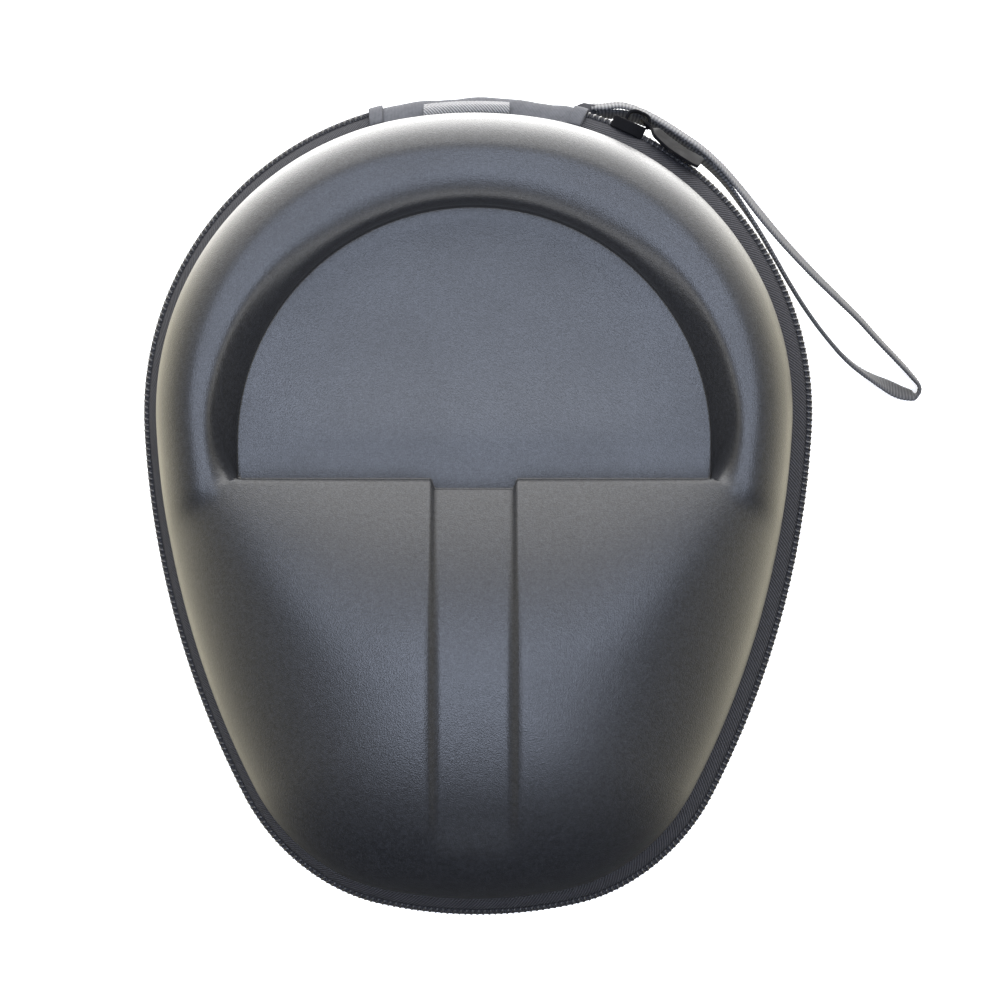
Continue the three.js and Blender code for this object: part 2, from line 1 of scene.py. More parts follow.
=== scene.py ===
"""Looks of a moulded headphone case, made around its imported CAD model.

Shapes are worked out in millimetres, in the CAD part's frame, and made in metres. The case lies on its
back: x runs across it, y towards the hinge end and z up, towards the front shell.
"""
import math

import bpy
import bmesh
import numpy as np
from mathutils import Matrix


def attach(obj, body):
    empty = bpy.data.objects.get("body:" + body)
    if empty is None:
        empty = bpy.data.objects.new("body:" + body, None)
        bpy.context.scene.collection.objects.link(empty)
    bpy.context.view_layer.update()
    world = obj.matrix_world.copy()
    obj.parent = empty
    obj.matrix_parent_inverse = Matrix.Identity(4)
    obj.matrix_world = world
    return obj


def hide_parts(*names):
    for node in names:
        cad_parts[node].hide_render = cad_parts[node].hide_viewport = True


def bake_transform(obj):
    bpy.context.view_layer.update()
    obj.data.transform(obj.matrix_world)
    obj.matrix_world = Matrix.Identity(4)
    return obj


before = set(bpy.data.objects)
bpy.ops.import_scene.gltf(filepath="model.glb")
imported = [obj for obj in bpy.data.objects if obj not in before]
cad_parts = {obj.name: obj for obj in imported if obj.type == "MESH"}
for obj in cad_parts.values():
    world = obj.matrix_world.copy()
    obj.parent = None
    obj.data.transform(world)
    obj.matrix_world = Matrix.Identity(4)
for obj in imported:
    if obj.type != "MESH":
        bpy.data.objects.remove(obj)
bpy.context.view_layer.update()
MM = 0.001

# ---- dimensions shared with the CAD part, in millimetres ----
TOP_Y = 119.9  # the zip line at the hinge end
RADII = (128, 92, 264, 64, 54)  # the outline's arcs, from the hinge end to the foot
BREAKS = (0, 10, 93, 117.4, 149.5, 167.5)  # the outline's normal where they start, in degrees
SHELL_STEP = 5.7  # inward from the zip line to the shells' walls
SHELL_X = -1.0
MID_Z = 50.0  # the zip's plane; the heights below are over it
RIM_H = 7.0
CROWN_H = 50.0
PANEL_H = 20.0
ARCH_H = 36.0
BACK_H = 50.0
BACK_RECESS = 3.0
PANEL_R = 68.3
PANEL_Y = 17.8
STEP_Y = 7.5  # the straight edge between the panel and the block below it
STRIP_HALF = 12.0
STRIP_SETBACK = 2.9
STRIP_FADE = (-104.0, -88.0)
SHELL_T = 3.0
LINING_T = 0.8
GAP = 0.3
BLOCK_W = 80.0
CREST_Y = -50.0  # where the block is highest, in the middle
CREST_TURN = (25.0, 85.0)  # distance across at which the crest leaves that line, and its run to the edge
TOP_DROP = 14.0  # how far the block falls from its crest to the straight edge
CORNER_ANGLE = 99.0
NARROW = 26.0  # the arch's width from the shell's outline to the panel
HINGE_FROM, HINGE_TO = -16.2, 16.4
TAB_ANGLE = 2.6
WEBBING_X = (-15.8, 9.2)
SLIDER_ANGLE = 24.3
COIL_PITCH = 1.76
STRAP_WIDTH = 10.0
STRAP_T = 1.2

# ---- finer shape of the front, in millimetres ----
ARCH_OUTER = 13.9  # width of the arch's outer slope
ARCH_INNER = 12.3
ARCH_SLOPE = 2.15  # rise over run of the arch's inner wall at its legs
STRIP_DEPTH = 1.9
GROOVE_X = 11.5
GROOVE_WIDTH = (2.5, 4.6)  # the slope beside the strip, at the panel and lower down
EDGE_R = 1.2

# ---- the camera's view ----
VIEW_X, VIEW_Y = 6.45, 1.65
VIEW_DISTANCE = 1000.0
VIEW_WIDTH = 294.1  # what the picture's width covers at the zip line
SENSOR = 36.0


def add_object(name, data):
    obj = bpy.data.objects.new(name, data)
    bpy.context.scene.collection.objects.link(obj)
    return obj


def make_camera():
    data = bpy.data.cameras.new("camera")
    data.sensor_width = SENSOR
    data.lens = SENSOR * VIEW_DISTANCE / VIEW_WIDTH
    data.clip_end = 50
    camera = add_object("camera", data)
    camera.location = (VIEW_X * MM, VIEW_Y * MM, (MID_Z + VIEW_DISTANCE) * MM)
    bpy.context.scene.camera = camera


make_camera()


# ---- mesh helpers ----
def add_mesh(name, points, faces, uv, material):
    """A smooth mesh from points in millimetres; uv holds one pair in millimetres for each point."""
    mesh = bpy.data.meshes.new(name)
    mesh.from_pydata((np.asarray(points, float) * MM).tolist(), [], [tuple(f) for f in faces])
    mesh.validate()
    mesh.polygons.foreach_set("use_smooth", np.ones(len(mesh.polygons), bool))
    if uv is not None:
        layer = mesh.uv_layers.new(name="weave")
        loops = np.empty(len(mesh.loops), int)
        mesh.loops.foreach_get("vertex_index", loops)
        layer.data.foreach_set("uv", np.asarray(uv, float)[loops].ravel())
    obj = add_object(name, mesh)
    mesh.materials.append(material)
    turn_outward(obj)
    return obj


def turn_outward(obj):
    """Faces that agree, and point out of a closed mesh."""
    bm = bmesh.new()
    bm.from_mesh(obj.data)
    bmesh.ops.recalc_face_normals(bm, faces=bm.faces)
    if bm.calc_volume(signed=True) < 0:
        bmesh.ops.reverse_faces(bm, faces=bm.faces)
    bm.to_mesh(obj.data)
    bm.free()


def loft(name, sections, closed_run=False, uv_run=None, material=None):
    """Sweep closed sections, an array of runs x corners x 3, into one solid."""
    sections = np.asarray(sections, float)
    runs, corners = sections.shape[:2]
    faces = []
    for r in range(runs if closed_run else runs - 1):
        n = (r + 1) % runs
        for k in range(corners):
            m = (k + 1) % corners
            faces.append((r * corners + k, r * corners + m, n * corners + m, n * corners + k))
    if not closed_run:
        faces.append(tuple(range(corners))[::-1])
        faces.append(tuple((runs - 1) * corners + k for k in range(corners)))
    if uv_run is None:
        middle = sections.mean(axis=1)
        uv_run = np.concatenate([[0], np.cumsum(np.linalg.norm(np.diff(middle, axis=0), axis=1))])
    step = np.linalg.norm(np.diff(sections[0], axis=0), axis=1)
    across = np.concatenate([[0], np.cumsum(step)])
    uv = np.stack(np.broadcast_arrays(np.asarray(uv_run)[:, None], across[None, :]), axis=-1).reshape(-1, 2)
    return add_mesh(name, sections.reshape(-1, 3), faces, uv, material)


def finish_piece(obj, body, slot, *nodes):
    """Give a new piece its body and hide the CAD nodes that it stands for; the slot is not used."""
    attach(obj, body)
    if nodes:
        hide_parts(*nodes)


# ---- wrist strap: a flat loop of ribbed webbing standing on edge ----
STRAP_HIGH = 38.6
STRAP_LOW = STRAP_WIDTH / 2 + 0.3
STRAP_LIFT = 3.6  # how much lower the returning strand lies at the anchor
STRAP_TIP = 18  # the route's point at the loop's end
STRAP_ROUTE = [
    (33.5, 118.6), (36.6, 118.6), (42.7, 119), (48.7, 117.1), (54.3, 114.2), (60.3, 110.4), (66, 106.5),
    (72, 101.3), (78.2, 94.6), (84.4, 87.4), (90.8, 80.5), (97.2, 74.2), (103.6, 68.3), (110.1, 62.6),
    (116.6, 56.7), (123, 50.1), (128.7, 44.4), (132.9, 39.8), (135.3, 36.4), (134.6, 34), (130.6, 34.4),
    (123.5, 37.4), (116.7, 41.2), (111.2, 45.5), (104.5, 52.8), (98.7, 60.2), (93.5, 67.8), (88.7, 75.4),
    (84.2, 82.3), (78.9, 89.8), (73.4, 97), (68, 102.4), (62, 107.2), (56, 111.3), (50, 114.5),
    (43.5, 116.6), (37.5, 116.7), (34, 116.3),
]
STRAP_STEP = 0.26
PATH_EVERY = 12  # steps between the points that state the strap's path
DROOP_FROM, DROOP_OVER = 0.3, 0.62  # share of a strand's length at which it starts to fall, and for how long
SWAP_POINTS = 8  # points round the tip in which the strap comes to pass below itself
RIB_PITCH = 1.05
RIB_DEPTH = 0.11
EDGE_NOTCH = 0.018
EDGE_FLOOR = 0.1
# share of the loop's length and degrees of lean there, the upper edge towards the case
STRAP_LEANS = [
    (0, 14), (0.15, 14), (0.23, 17.5), (0.32, 16.5), (0.42, 12.5), (0.5, 10), (0.57, 9), (0.62, 6.5),
    (0.78, 5), (0.88, -7), (1, -7),
]
TIP_TWIST, TWIST_AT, TWIST_SPREAD = 17, 0.53, 0.028  # degrees, and shares of the loop's length


def clamp01(v):
    return np.clip(v, 0.0, 1.0)


def smoothstep(v):
    v = clamp01(v)
    return v * v * (3 - 2 * v)


def strap_height(i):
    last = len(STRAP_ROUTE) - 1
    along = i / STRAP_TIP if i <= STRAP_TIP else (last - i) / (last - STRAP_TIP)
    droop = float(smoothstep((along - DROOP_FROM) / DROOP_OVER))
    back = float(clamp01((i - STRAP_TIP) / SWAP_POINTS + 0.5))
    return STRAP_HIGH + (STRAP_LOW - STRAP_HIGH) * droop - STRAP_LIFT * back * (1 - droop)


def catmull(points, step):
    """Centripetal Catmull-Rom through the points, resampled at even steps."""
    p = np.asarray(points, float)
    p = np.vstack([2 * p[0] - p[1], p, 2 * p[-1] - p[-2]])
    out = []
    for i in range(1, len(p) - 2):
        p0, p1, p2, p3 = p[i - 1 : i + 3]
        t0 = 0.0
        t1 = t0 + math.sqrt(np.linalg.norm(p1 - p0))
        t2 = t1 + math.sqrt(np.linalg.norm(p2 - p1))
        t3 = t2 + math.sqrt(np.linalg.norm(p3 - p2))
        t = np.linspace(t1, t2, 40, endpoint=False)[:, None]
        a1 = (t1 - t) / (t1 - t0) * p0 + (t - t0) / (t1 - t0) * p1
        a2 = (t2 - t) / (t2 - t1) * p1 + (t - t1) / (t2 - t1) * p2
        a3 = (t3 - t) / (t3 - t2) * p2 + (t - t2) / (t3 - t2) * p3
        b1 = (t2 - t) / (t2 - t0) * a1 + (t - t0) / (t2 - t0) * a2
        b2 = (t3 - t) / (t3 - t1) * a2 + (t - t1) / (t3 - t1) * a3
        out.append((t2 - t) / (t2 - t1) * b1 + (t - t1) / (t2 - t1) * b2)
    line = np.vstack(out + [p[-2:-1]])
    run = np.concatenate([[0], np.cumsum(np.linalg.norm(np.diff(line, axis=0), axis=1))])
    at = np.linspace(0, run[-1], int(run[-1] / step) + 1)
    return np.stack([np.interp(at, run, line[:, k]) for k in range(3)], axis=1), at


def strap_section():
    """Half-width and half-thickness factors round the webbing, with thin rolled edges."""
    rolled = 0.45
    upper = [(w, rolled if abs(w) == 1 else 1.0) for w in np.linspace(-1, 1, 9)]
    return upper + [(w, -t) for w, t in reversed(upper)]


def make_strap(material):
    route = [(x, y, strap_height(i)) for i, (x, y) in enumerate(STRAP_ROUTE)]
    line, run = catmull(route, STRAP_STEP)
    tangent = np.gradient(line, axis=0)
    tangent /= np.linalg.norm(tangent, axis=1)[:, None]
    flat = np.stack([-tangent[:, 1], tangent[:, 0], np.zeros(len(line))], axis=1)
    flat /= np.linalg.norm(flat, axis=1)[:, None]
    upright = np.cross(tangent, flat)
    share = run / run[-1]
    outward = line[:, :2] - [0.0, PANEL_Y]
    outward /= np.linalg.norm(outward, axis=1)[:, None]
    facing = clamp01(2 * (flat[:, :2] * outward).sum(axis=1) + 0.5) * 2 - 1
    lean = np.interp(share, *zip(*STRAP_LEANS))
    twist = np.radians(TIP_TWIST) * np.exp(-(((share - TWIST_AT) / TWIST_SPREAD) ** 2))
    roll = twist - np.radians(lean) * facing
    thin = flat * np.cos(roll)[:, None] - upright * np.sin(roll)[:, None]
    wide = upright * np.cos(roll)[:, None] + flat * np.sin(roll)[:, None]
    ripple = np.cos(2 * np.pi * run / RIB_PITCH)
    rib = 1 + RIB_DEPTH * ripple
    edge = 1 - EDGE_NOTCH * (1 - ripple)
    sections = []
    for w, t in strap_section():
        width = wide * (w * STRAP_WIDTH / 2 * edge)[:, None]
        sections.append(line + width + thin * (t * STRAP_T / 2 * rib)[:, None])
    sections = np.stack(sections, axis=1)
    low = sections[..., 2].min(axis=1)
    sections[..., 2] += np.maximum(0, EDGE_FLOOR - low)[:, None]
    obj = loft("wrist_strap_webbing", sections, uv_run=run, material=material)
    path = [tuple(p * MM) for p in [*line[::PATH_EVERY], line[-1]]]
    return obj, path, run[-1] * MM


# ---- node materials: the scales of noise and cells are per metre, and bump distances are in metres ----
def new_material(name, color, roughness, specular=0.5):
    material = bpy.data.materials.new(name)
    material.use_nodes = True
    shader = material.node_tree.nodes["Principled BSDF"]
    shader.inputs["Base Color"].default_value = (*color, 1)
    shader.inputs["Roughness"].default_value = roughness
    shader.inputs["Specular IOR Level"].default_value = specular
    return material


class Nodes:
    """Short names for adding and joining the nodes of a material or of the surroundings."""

    def __init__(self, owner):
        self.owner = owner
        self.tree = owner.node_tree
        self.shader = self.tree.nodes.get("Principled BSDF")
        self.coords = self.tree.nodes.new("ShaderNodeTexCoord").outputs

    def fill(self, socket, value):
        """Join another node's output to a socket, or set a plain value there."""
        if isinstance(value, bpy.types.NodeSocket):
            self.tree.links.new(value, socket)
        else:
            socket.default_value = value

    def add(self, kind, **inputs):
        node = self.tree.nodes.new(kind)
        for key, value in inputs.items():
            self.fill(node.inputs[key.replace("_", " ")], value)
        return node

    def math(self, operation, a, b=0.0):
        node = self.tree.nodes.new("ShaderNodeMath")
        node.operation = operation
        for socket, value in zip(node.inputs, (a, b)):
            self.fill(socket, value)
        return node.outputs[0]

    def times(self, a, b):
        return self.math("MULTIPLY", a, b)

    def plus(self, a, b):
        return self.math("ADD", a, b)

    def noise(self, scale, detail=3.0, rough=0.55):
        place = self.coords["Object"]
        node = self.add("ShaderNodeTexNoise", Vector=place, Scale=scale, Detail=detail, Roughness=rough)
        return node.outputs["Fac"]

    def cells(self, scale):
        return self.add("ShaderNodeTexVoronoi", Vector=self.coords["Object"], Scale=scale).outputs["Distance"]

    def axes(self, space):
        return self.add("ShaderNodeSeparateXYZ", Vector=self.coords[space]).outputs

    def uv(self):
        """Millimetres along a strip and across it."""
        return self.axes("UV")[:2]

    def ramp(self, value, low, high, color_low, color_high):
        """One colour at the low value, running to the other at the high value."""
        mix = self.tree.nodes.new("ShaderNodeMix")
        mix.data_type = "RGBA"
        self.tree.links.new(self.span(value, low, high), mix.inputs[0])
        mix.inputs[6].default_value = (*color_low, 1)
        mix.inputs[7].default_value = (*color_high, 1)
        return mix.outputs[2]

    def span(self, value, low, high, to_low=0.0, to_high=1.0, smooth=False):
        """The value's range from low to high mapped to another range, and held at its ends."""
        ends = {"From_Min": low, "From_Max": high, "To_Min": to_low, "To_Max": to_high}
        node = self.add("ShaderNodeMapRange", Value=value, **ends)
        if smooth:
            node.interpolation_type = "SMOOTHSTEP"
        return node.outputs[0]

    def bump(self, height, strength, distance):
        """A bump over those already made."""
        node = self.add("ShaderNodeBump", Height=height, Strength=strength, Distance=distance)
        if self.shader.inputs["Normal"].is_linked:
            self.tree.links.new(self.shader.inputs["Normal"].links[0].from_socket, node.inputs["Normal"])
        self.tree.links.new(node.outputs[0], self.shader.inputs["Normal"])

    def drive(self, key, value):
        self.tree.links.new(value, self.shader.inputs[key])

    def wave(self, value, pitch):
        """0 to 1 ripple along a coordinate in millimetres."""
        turns = self.times(value, 2 * math.pi / pitch)
        return self.half(self.math("SINE", turns))

    def half(self, value):
        return self.plus(self.times(value, 0.5), 0.5)


def leather_material():
    """Bonded leather: small cells and pores, glossier in specks, unevenly rough on a broad scale."""
    dark, light = (0.009, 0.0095, 0.0115), (0.018, 0.019, 0.023)
    n = Nodes(new_material("grained_leather", light, 0.42))
    grain = n.cells(2500)
    pores = n.noise(4200, 2)
    broad = n.noise(28, 4)
    n.drive("Base Color", n.ramp(n.noise(900, 4), 0.35, 0.7, dark, light))
    rough = n.plus(n.span(broad, 0.3, 0.7, 0.34, 0.4), n.span(pores, 0.3, 0.7, -0.02, 0.04))
    n.drive("Roughness", rough)
    n.drive("Specular IOR Level", n.span(n.noise(2300, 3, 0.7), 0.36, 0.64, 0.42, 0.6))
    n.bump(grain, 0.5, 0.0001)
    n.bump(pores, 0.25, 0.00008)
    return n.owner


def twill_material(name, dark, light, pitch, slant, roughness=0.85, specular=0.25):
    """Diagonal ribs from a slanted ripple, crossed by a fine thread ripple."""
    n = Nodes(new_material(name, dark, roughness, specular))
    u, v = n.uv()
    diagonal = n.wave(n.plus(u, n.times(v, slant)), pitch)
    thread = n.wave(n.math("SUBTRACT", v, n.times(u, 0.2)), pitch * 0.42)
    cloth = n.times(diagonal, n.half(thread))
    fuzz = n.noise(1500, 3)
    n.drive("Base Color", n.ramp(n.plus(cloth, n.times(fuzz, 0.4)), 0.15, 1.1, dark, light))
    n.bump(cloth, 0.75, 0.00022)
    n.bump(fuzz, 0.3, 0.00008)
    return n.owner


def plain_cloth_material(name, dark, light):
    """Plain weave: ripples both ways, with a soft fuzz."""
    n = Nodes(new_material(name, dark, 0.8, 0.3))
    u, v = n.uv()
    thread = 0.42
    weave = n.times(n.wave(u, thread), n.wave(v, thread))
    fuzz = n.noise(700, 4)
    n.drive("Base Color", n.ramp(n.plus(weave, fuzz), 0.3, 1.3, dark, light))
    n.bump(weave, 0.35, 0.0001)
    n.bump(fuzz, 0.25, 0.0001)
    return n.owner


def knit_material(name, dark, light):
    """Brushed knit: a fine nap, patchy on a broad scale, with a little sheen."""
    n = Nodes(new_material(name, dark, 0.95, 0.15))
    nap = n.noise(2600, 4)
    patches = n.times(n.noise(60), 0.4)
    n.drive("Base Color", n.ramp(n.plus(nap, patches), 0.45, 1.0, dark, light))
    n.bump(nap, 0.5, 0.0002)
    shader = n.shader.inputs
    shader["Sheen Weight"].default_value = 0.25
    shader["Sheen Roughness"].default_value = 0.5
    return n.owner


def webbing_material(name, dark, light, pitch, shaded_stretch):
    """Ribbed webbing: the cross ribs are lighter than the furrows, and a stretch of it round the loop's tip
    is darkened with painted shade.
    """
    n = Nodes(new_material(name, dark, 0.8, 0.3))
    u, v = n.uv()
    rib = n.wave(u, pitch)
    thread = n.wave(n.plus(v, n.times(u, 0.35)), 0.5)
    fuzz = n.noise(2400, 3)
    cloth = n.plus(rib, n.plus(n.times(thread, 0.35), n.times(fuzz, 0.5)))
    # painted shade: over this stretch, round the loop's tip, the cloth's tone is lowered as if less light
    # fell there
    (near, far), blend = shaded_stretch, 60
    before = n.span(u, near - blend, near, 0, 0.75)
    after = n.span(u, far, far + blend, 0.75, 0)
    cloth = n.math("SUBTRACT", cloth, n.times(before, after))
    n.drive("Base Color", n.ramp(cloth, 0.3, 1.55, dark, light))
    n.bump(n.times(thread, rib), 0.4, 0.00012)
    n.bump(fuzz, 0.3, 0.00008)
    return n.owner


def nylon_material():
    n = Nodes(new_material("coil_nylon", (0.016, 0.016, 0.019), 0.3, 0.6))
    n.drive("Roughness", n.span(n.noise(800, 2), 0.3, 0.7, 0.24, 0.38))
    return n.owner


def painted_metal_material():
    n = Nodes(new_material("black_painted_metal", (0.008, 0.008, 0.009), 0.45, 0.018))
    wear = n.noise(240, 5, 0.65)
    n.drive("Base Color", n.ramp(wear, 0.58, 0.74, (0.006, 0.006, 0.007), (0.022, 0.021, 0.019)))
    n.drive("Roughness", n.span(wear, 0.35, 0.7, 0.48, 0.62))
    n.bump(n.noise(1800, 2), 0.12, 0.00005)
    return n.owner


def net_material():
    """Open net: square holes drawn by alpha between thin threads."""
    n = Nodes(new_material("pocket_net", (0.022, 0.022, 0.025), 0.8, 0.25))
    u, v = n.uv()
    pitch, thread = 1.9, 0.42
    first, second = (
        n.math("ABSOLUTE", n.math("SINE", n.times(n.math(way, u, v), math.pi / pitch)))
        for way in ("ADD", "SUBTRACT")
    )
    open_hole = n.math("GREATER_THAN", n.math("MINIMUM", first, second), thread)
    n.drive("Alpha", n.math("SUBTRACT", 1.0, open_hole))
    n.bump(n.times(first, second), 0.4, 0.0002)
    return n.owner


LEATHER = leather_material()
TAPE = twill_material("zip_tape_twill", (0.009, 0.009, 0.011), (0.05, 0.05, 0.057), 1.0, 0.8, 0.8, 0.2)
BINDING = twill_material("rim_binding_twill", (0.014, 0.014, 0.016), (0.04, 0.04, 0.045), 0.8, 0.5)
HINGE = plain_cloth_material("hinge_cloth_weave", (0.036, 0.037, 0.043), (0.08, 0.083, 0.094))
FOLD = plain_cloth_material("strap_end_fold_weave", (0.02, 0.02, 0.024), (0.05, 0.05, 0.056))
WEBBING = twill_material("light_webbing_twill", (0.07, 0.07, 0.073), (0.27, 0.27, 0.28), 0.9, 0.8, 0.7, 0.3)
# the last pair is the stretch, in millimetres along the strap, that is darkened with painted shade
STRAP = webbing_material("strap_webbing_rib", (0.04, 0.04, 0.043), (0.14, 0.14, 0.147), RIB_PITCH, (120, 180))
LINING = knit_material("lining_knit", (0.012, 0.012, 0.014), (0.034, 0.034, 0.038))
COIL = nylon_material()
METAL = painted_metal_material()
NET = net_material()
ELASTIC = twill_material("elastic_band", (0.016, 0.016, 0.018), (0.05, 0.05, 0.055), 1.4, 0.0)

strap, strap_path, strap_length = make_strap(STRAP)
finish_piece(strap, "base", "strap_webbing", "wrist_strap")


# ---- outline ----
def arc_chain():
    """Centre, radius and span of each arc down one side; the last one closes the foot on the middle line."""
    arcs = []
    x, y = 0.0, TOP_Y
    for radius, start, end in zip(RADII, BREAKS, BREAKS[1:]):
        cx = x - radius * math.sin(math.radians(start))
        cy = y - radius * math.cos(math.radians(start))
        arcs.append((cx, cy, radius, start, end))
        x = cx + radius * math.sin(math.radians(end))
        y = cy + radius * math.cos(math.radians(end))
    radius = x / math.sin(math.radians(BREAKS[-1]))
    arcs.append((0.0, y - radius * math.cos(math.radians(BREAKS[-1])), radius, BREAKS[-1], 180.0))
    return arcs


ARCS = arc_chain()


def outline(angles, inset, shift=0.0):
    """Points of the outline moved inward, at signed normal angles in degrees."""
    angles = np.asarray(angles, float)
    side = np.where(angles < 0, -1.0, 1.0)
    a = np.abs(angles)
    ends = np.array([arc[4] for arc in ARCS])
    pick = np.minimum(np.searchsorted(ends, a - 1e-9), len(ARCS) - 1)
    cx, cy, radius = (np.array([arc[k] for arc in ARCS])[pick] for k in range(3))
    r = radius - inset
    x = shift + side * (cx + r * np.sin(np.radians(a)))
    return np.stack([x, cy + r * np.cos(np.radians(a))], axis=-1)


def shell_outline(angles, inset):
    return outline(angles, SHELL_STEP + inset, SHELL_X)


def edge_distance(x, y):
    """Distance inward from the shell outline; x is from the shells' middle."""
    best = np.full(np.shape(x), 1e3)
    ax = np.abs(x)
    for cx, cy, radius, start, end in ARCS:
        a = np.degrees(np.arctan2(ax - cx, y - cy))
        reach = radius - SHELL_STEP - np.hypot(ax - cx, y - cy)
        best = np.where((a >= start - 0.5) & (a <= end + 0.5), np.minimum(best, reach), best)
    return np.maximum(0.0, best)


# ---- surface heights over the zip plane ----
WALL_SHAPE, GENTLE_SHAPE, BLOCK_SHAPE, BACK_SHAPE = (2, 2.4), (2, 6), (3, 2.2), (2.4, 1.8)
BACK_ROUND = 18.0
GENTLE_SHARE = 0.3  # of the arch's gentle inner slope in its legs; it has all of it at the top
GENTLE_FROM, GENTLE_OVER = 40.0, 42.0
LEG_FADE = (-34.0, 6.0)  # between these the arch's legs run out into the block
SHOULDER_X = (50.0, 75.0)
GROOVE_GROWS = (-10.0, -55.0)
NO_STEP = 0.01


def blend_over(v, start, end):
    return smoothstep((v - start) / (end - start))


def soft_max(a, b, k):
    """The greater of two heights, with the crease between them rounded over k."""
    return (a + b + np.sqrt((a - b) ** 2 + k * k)) / 2


def soft_min(a, b, k):
    return (a + b - np.sqrt((a - b) ** 2 + k * k)) / 2


def rise(s, p, q):
    """From 0 to 1: a higher p levels off sooner, and a higher q starts steeper."""
    return (1 - (1 - clamp01(s)) ** p) ** (1 / q)


def outer_wall(d):
    return RIM_H + (ARCH_H - RIM_H) * rise(d / ARCH_OUTER, *WALL_SHAPE)


def arch_height(x, y, d):
    """The ridge round the panel: the outer wall, cut by an inner slope that is steeper in the legs."""
    beyond = np.where(y > PANEL_Y, np.hypot(x, y - PANEL_Y), np.abs(x)) - PANEL_R
    beyond = np.maximum(0, beyond)
    gentle = PANEL_H + (ARCH_H - PANEL_H) * rise(beyond / ARCH_INNER, *GENTLE_SHAPE)
    steep = soft_min(PANEL_H + ARCH_SLOPE * beyond, ARCH_H + 0.3, 3)
    share = GENTLE_SHARE + (1 - GENTLE_SHARE) * smoothstep((y - GENTLE_FROM) / GENTLE_OVER)
    return soft_min(outer_wall(d), steep + (gentle - steep) * share, 0.6)


def block_height(x, y, d):
    """The ear-cup block: a dome that falls from its crest to the straight edge, which is eased."""
    crest = CREST_Y + (STEP_Y - CREST_Y) * smoothstep((np.abs(x) - CREST_TURN[0]) / CREST_TURN[1])
    beyond = np.maximum(0, (y - crest) / (STEP_Y - crest))
    drop = TOP_DROP * (STEP_Y - crest) / (STEP_Y - CREST_Y)
    top = CROWN_H - drop * beyond**2.2
    below = clamp01((STEP_Y - y) / EDGE_R)
    along_panel = 1 - blend_over(np.abs(x), PANEL_R - 3, PANEL_R + 1)
    edge = 0.4 * EDGE_R * (1 - below) ** 2 * along_panel
    return RIM_H + (top - RIM_H) * rise(d / BLOCK_W, *BLOCK_SHAPE) - edge


def lower_height(x, y, d):
    """Everything below the panel's straight edge: the block with the arch's legs run out into it."""
    shoulder = (outer_wall(d) - RIM_H) * blend_over(y, *LEG_FADE)
    away = blend_over(np.abs(x), *SHOULDER_X)
    body = soft_max(block_height(x, y, d), RIM_H + shoulder * away, 2) - 0.2
    soft = GROOVE_WIDTH[0] + (GROOVE_WIDTH[1] - GROOVE_WIDTH[0]) * blend_over(y, *GROOVE_GROWS)
    strip = 1 - smoothstep((np.abs(x) - GROOVE_X) / soft + 0.5)
    return body - STRIP_DEPTH * strip * blend_over(y, *STRIP_FADE)


def front_height(x, y):
    """A sheer step at the panel's straight edge, and a blend that widens outward beside it."""
    d = edge_distance(x, y)
    outward = np.maximum(0, np.abs(x) - PANEL_R)
    beside = outward > NO_STEP
    reach = np.where(beside, 0.7 + np.minimum(2.2 * outward, 15), NO_STEP)
    above = smoothstep((y - STEP_Y - np.where(beside, 0, NO_STEP) + 0.3 * reach) / (2 * reach))
    low = lower_height(x, np.minimum(y, STEP_Y), d)
    whole = low + (arch_height(x, y, d) - low) * above
    return np.where(d < NO_STEP, RIM_H, np.maximum(RIM_H, whole))


def back_height(x, y):
    return RIM_H + (BACK_H - RIM_H) * rise(edge_distance(x, y) / BACK_ROUND, *BACK_SHAPE)


# ---- columns and rings of the moulded surfaces ----
def refine(stops, counts):
    """Each stretch between stops cut into its count of even steps."""
    out = [np.linspace(a, b, n, endpoint=False) for a, b, n in zip(stops, stops[1:], counts)]
    return np.concatenate(out + [[stops[-1]]])


def foot_angle(x):
    """The outline's normal angle at a distance across, on the foot's arc."""
    return 180 - math.degrees(math.asin(x / (ARCS[-1][2] - SHELL_STEP)))


STRIP_EASE = 0.8  # half the width in which the panel's edge steps back to the strip
RIGHT = refine(
    [0, 10, 26, 50, 74, 90, CORNER_ANGLE, 113, 127, 143, 159, 166,
     foot_angle(STRIP_HALF + STRIP_EASE), foot_angle(STRIP_HALF - STRIP_EASE), 180],
    [8, 12, 18, 18, 14, 16, 18, 16, 16, 16, 8, 12, 8, 12],
)
LOOP = np.concatenate([RIGHT, -RIGHT[1:-1][::-1]])  # one column for each normal angle round the case


def panel_outline(angles, grow, setback_depth=STRIP_SETBACK):
    """Edge of the D panel for signed normal angles, moved outward by grow, from the shells' middle."""
    side = np.where(angles < 0, -1.0, 1.0)
    a = np.abs(angles)
    r = PANEL_R + grow
    foot = STEP_Y - grow
    x = r * np.sin(np.radians(np.minimum(a, 90)))
    y = PANEL_Y + r * np.cos(np.radians(np.minimum(a, 90)))
    f = clamp01((a - 90) / (CORNER_ANGLE - 90))
    y = np.where(a > 90, PANEL_Y + (foot - PANEL_Y) * f, y)
    start = shell_outline(CORNER_ANGLE, 0)[0] - SHELL_X
    ox = np.abs(shell_outline(angles, 0)[:, 0] - SHELL_X)
    keep = STRIP_HALF + 2
    mapped = np.where(ox < keep, ox, keep + (ox - keep) * (r - keep) / (start - keep))
    setback = setback_depth * (1 - blend_over(ox, STRIP_HALF - STRIP_EASE, STRIP_HALF + STRIP_EASE))
    x = np.where(a > CORNER_ANGLE, mapped, x)
    y = np.where(a > CORNER_ANGLE, foot - setback, y)
    return np.stack([side * x, y], axis=-1)


RING_COUNTS = [3, 5, 5, 5, 5, 6, 6, 7, 7, 7]
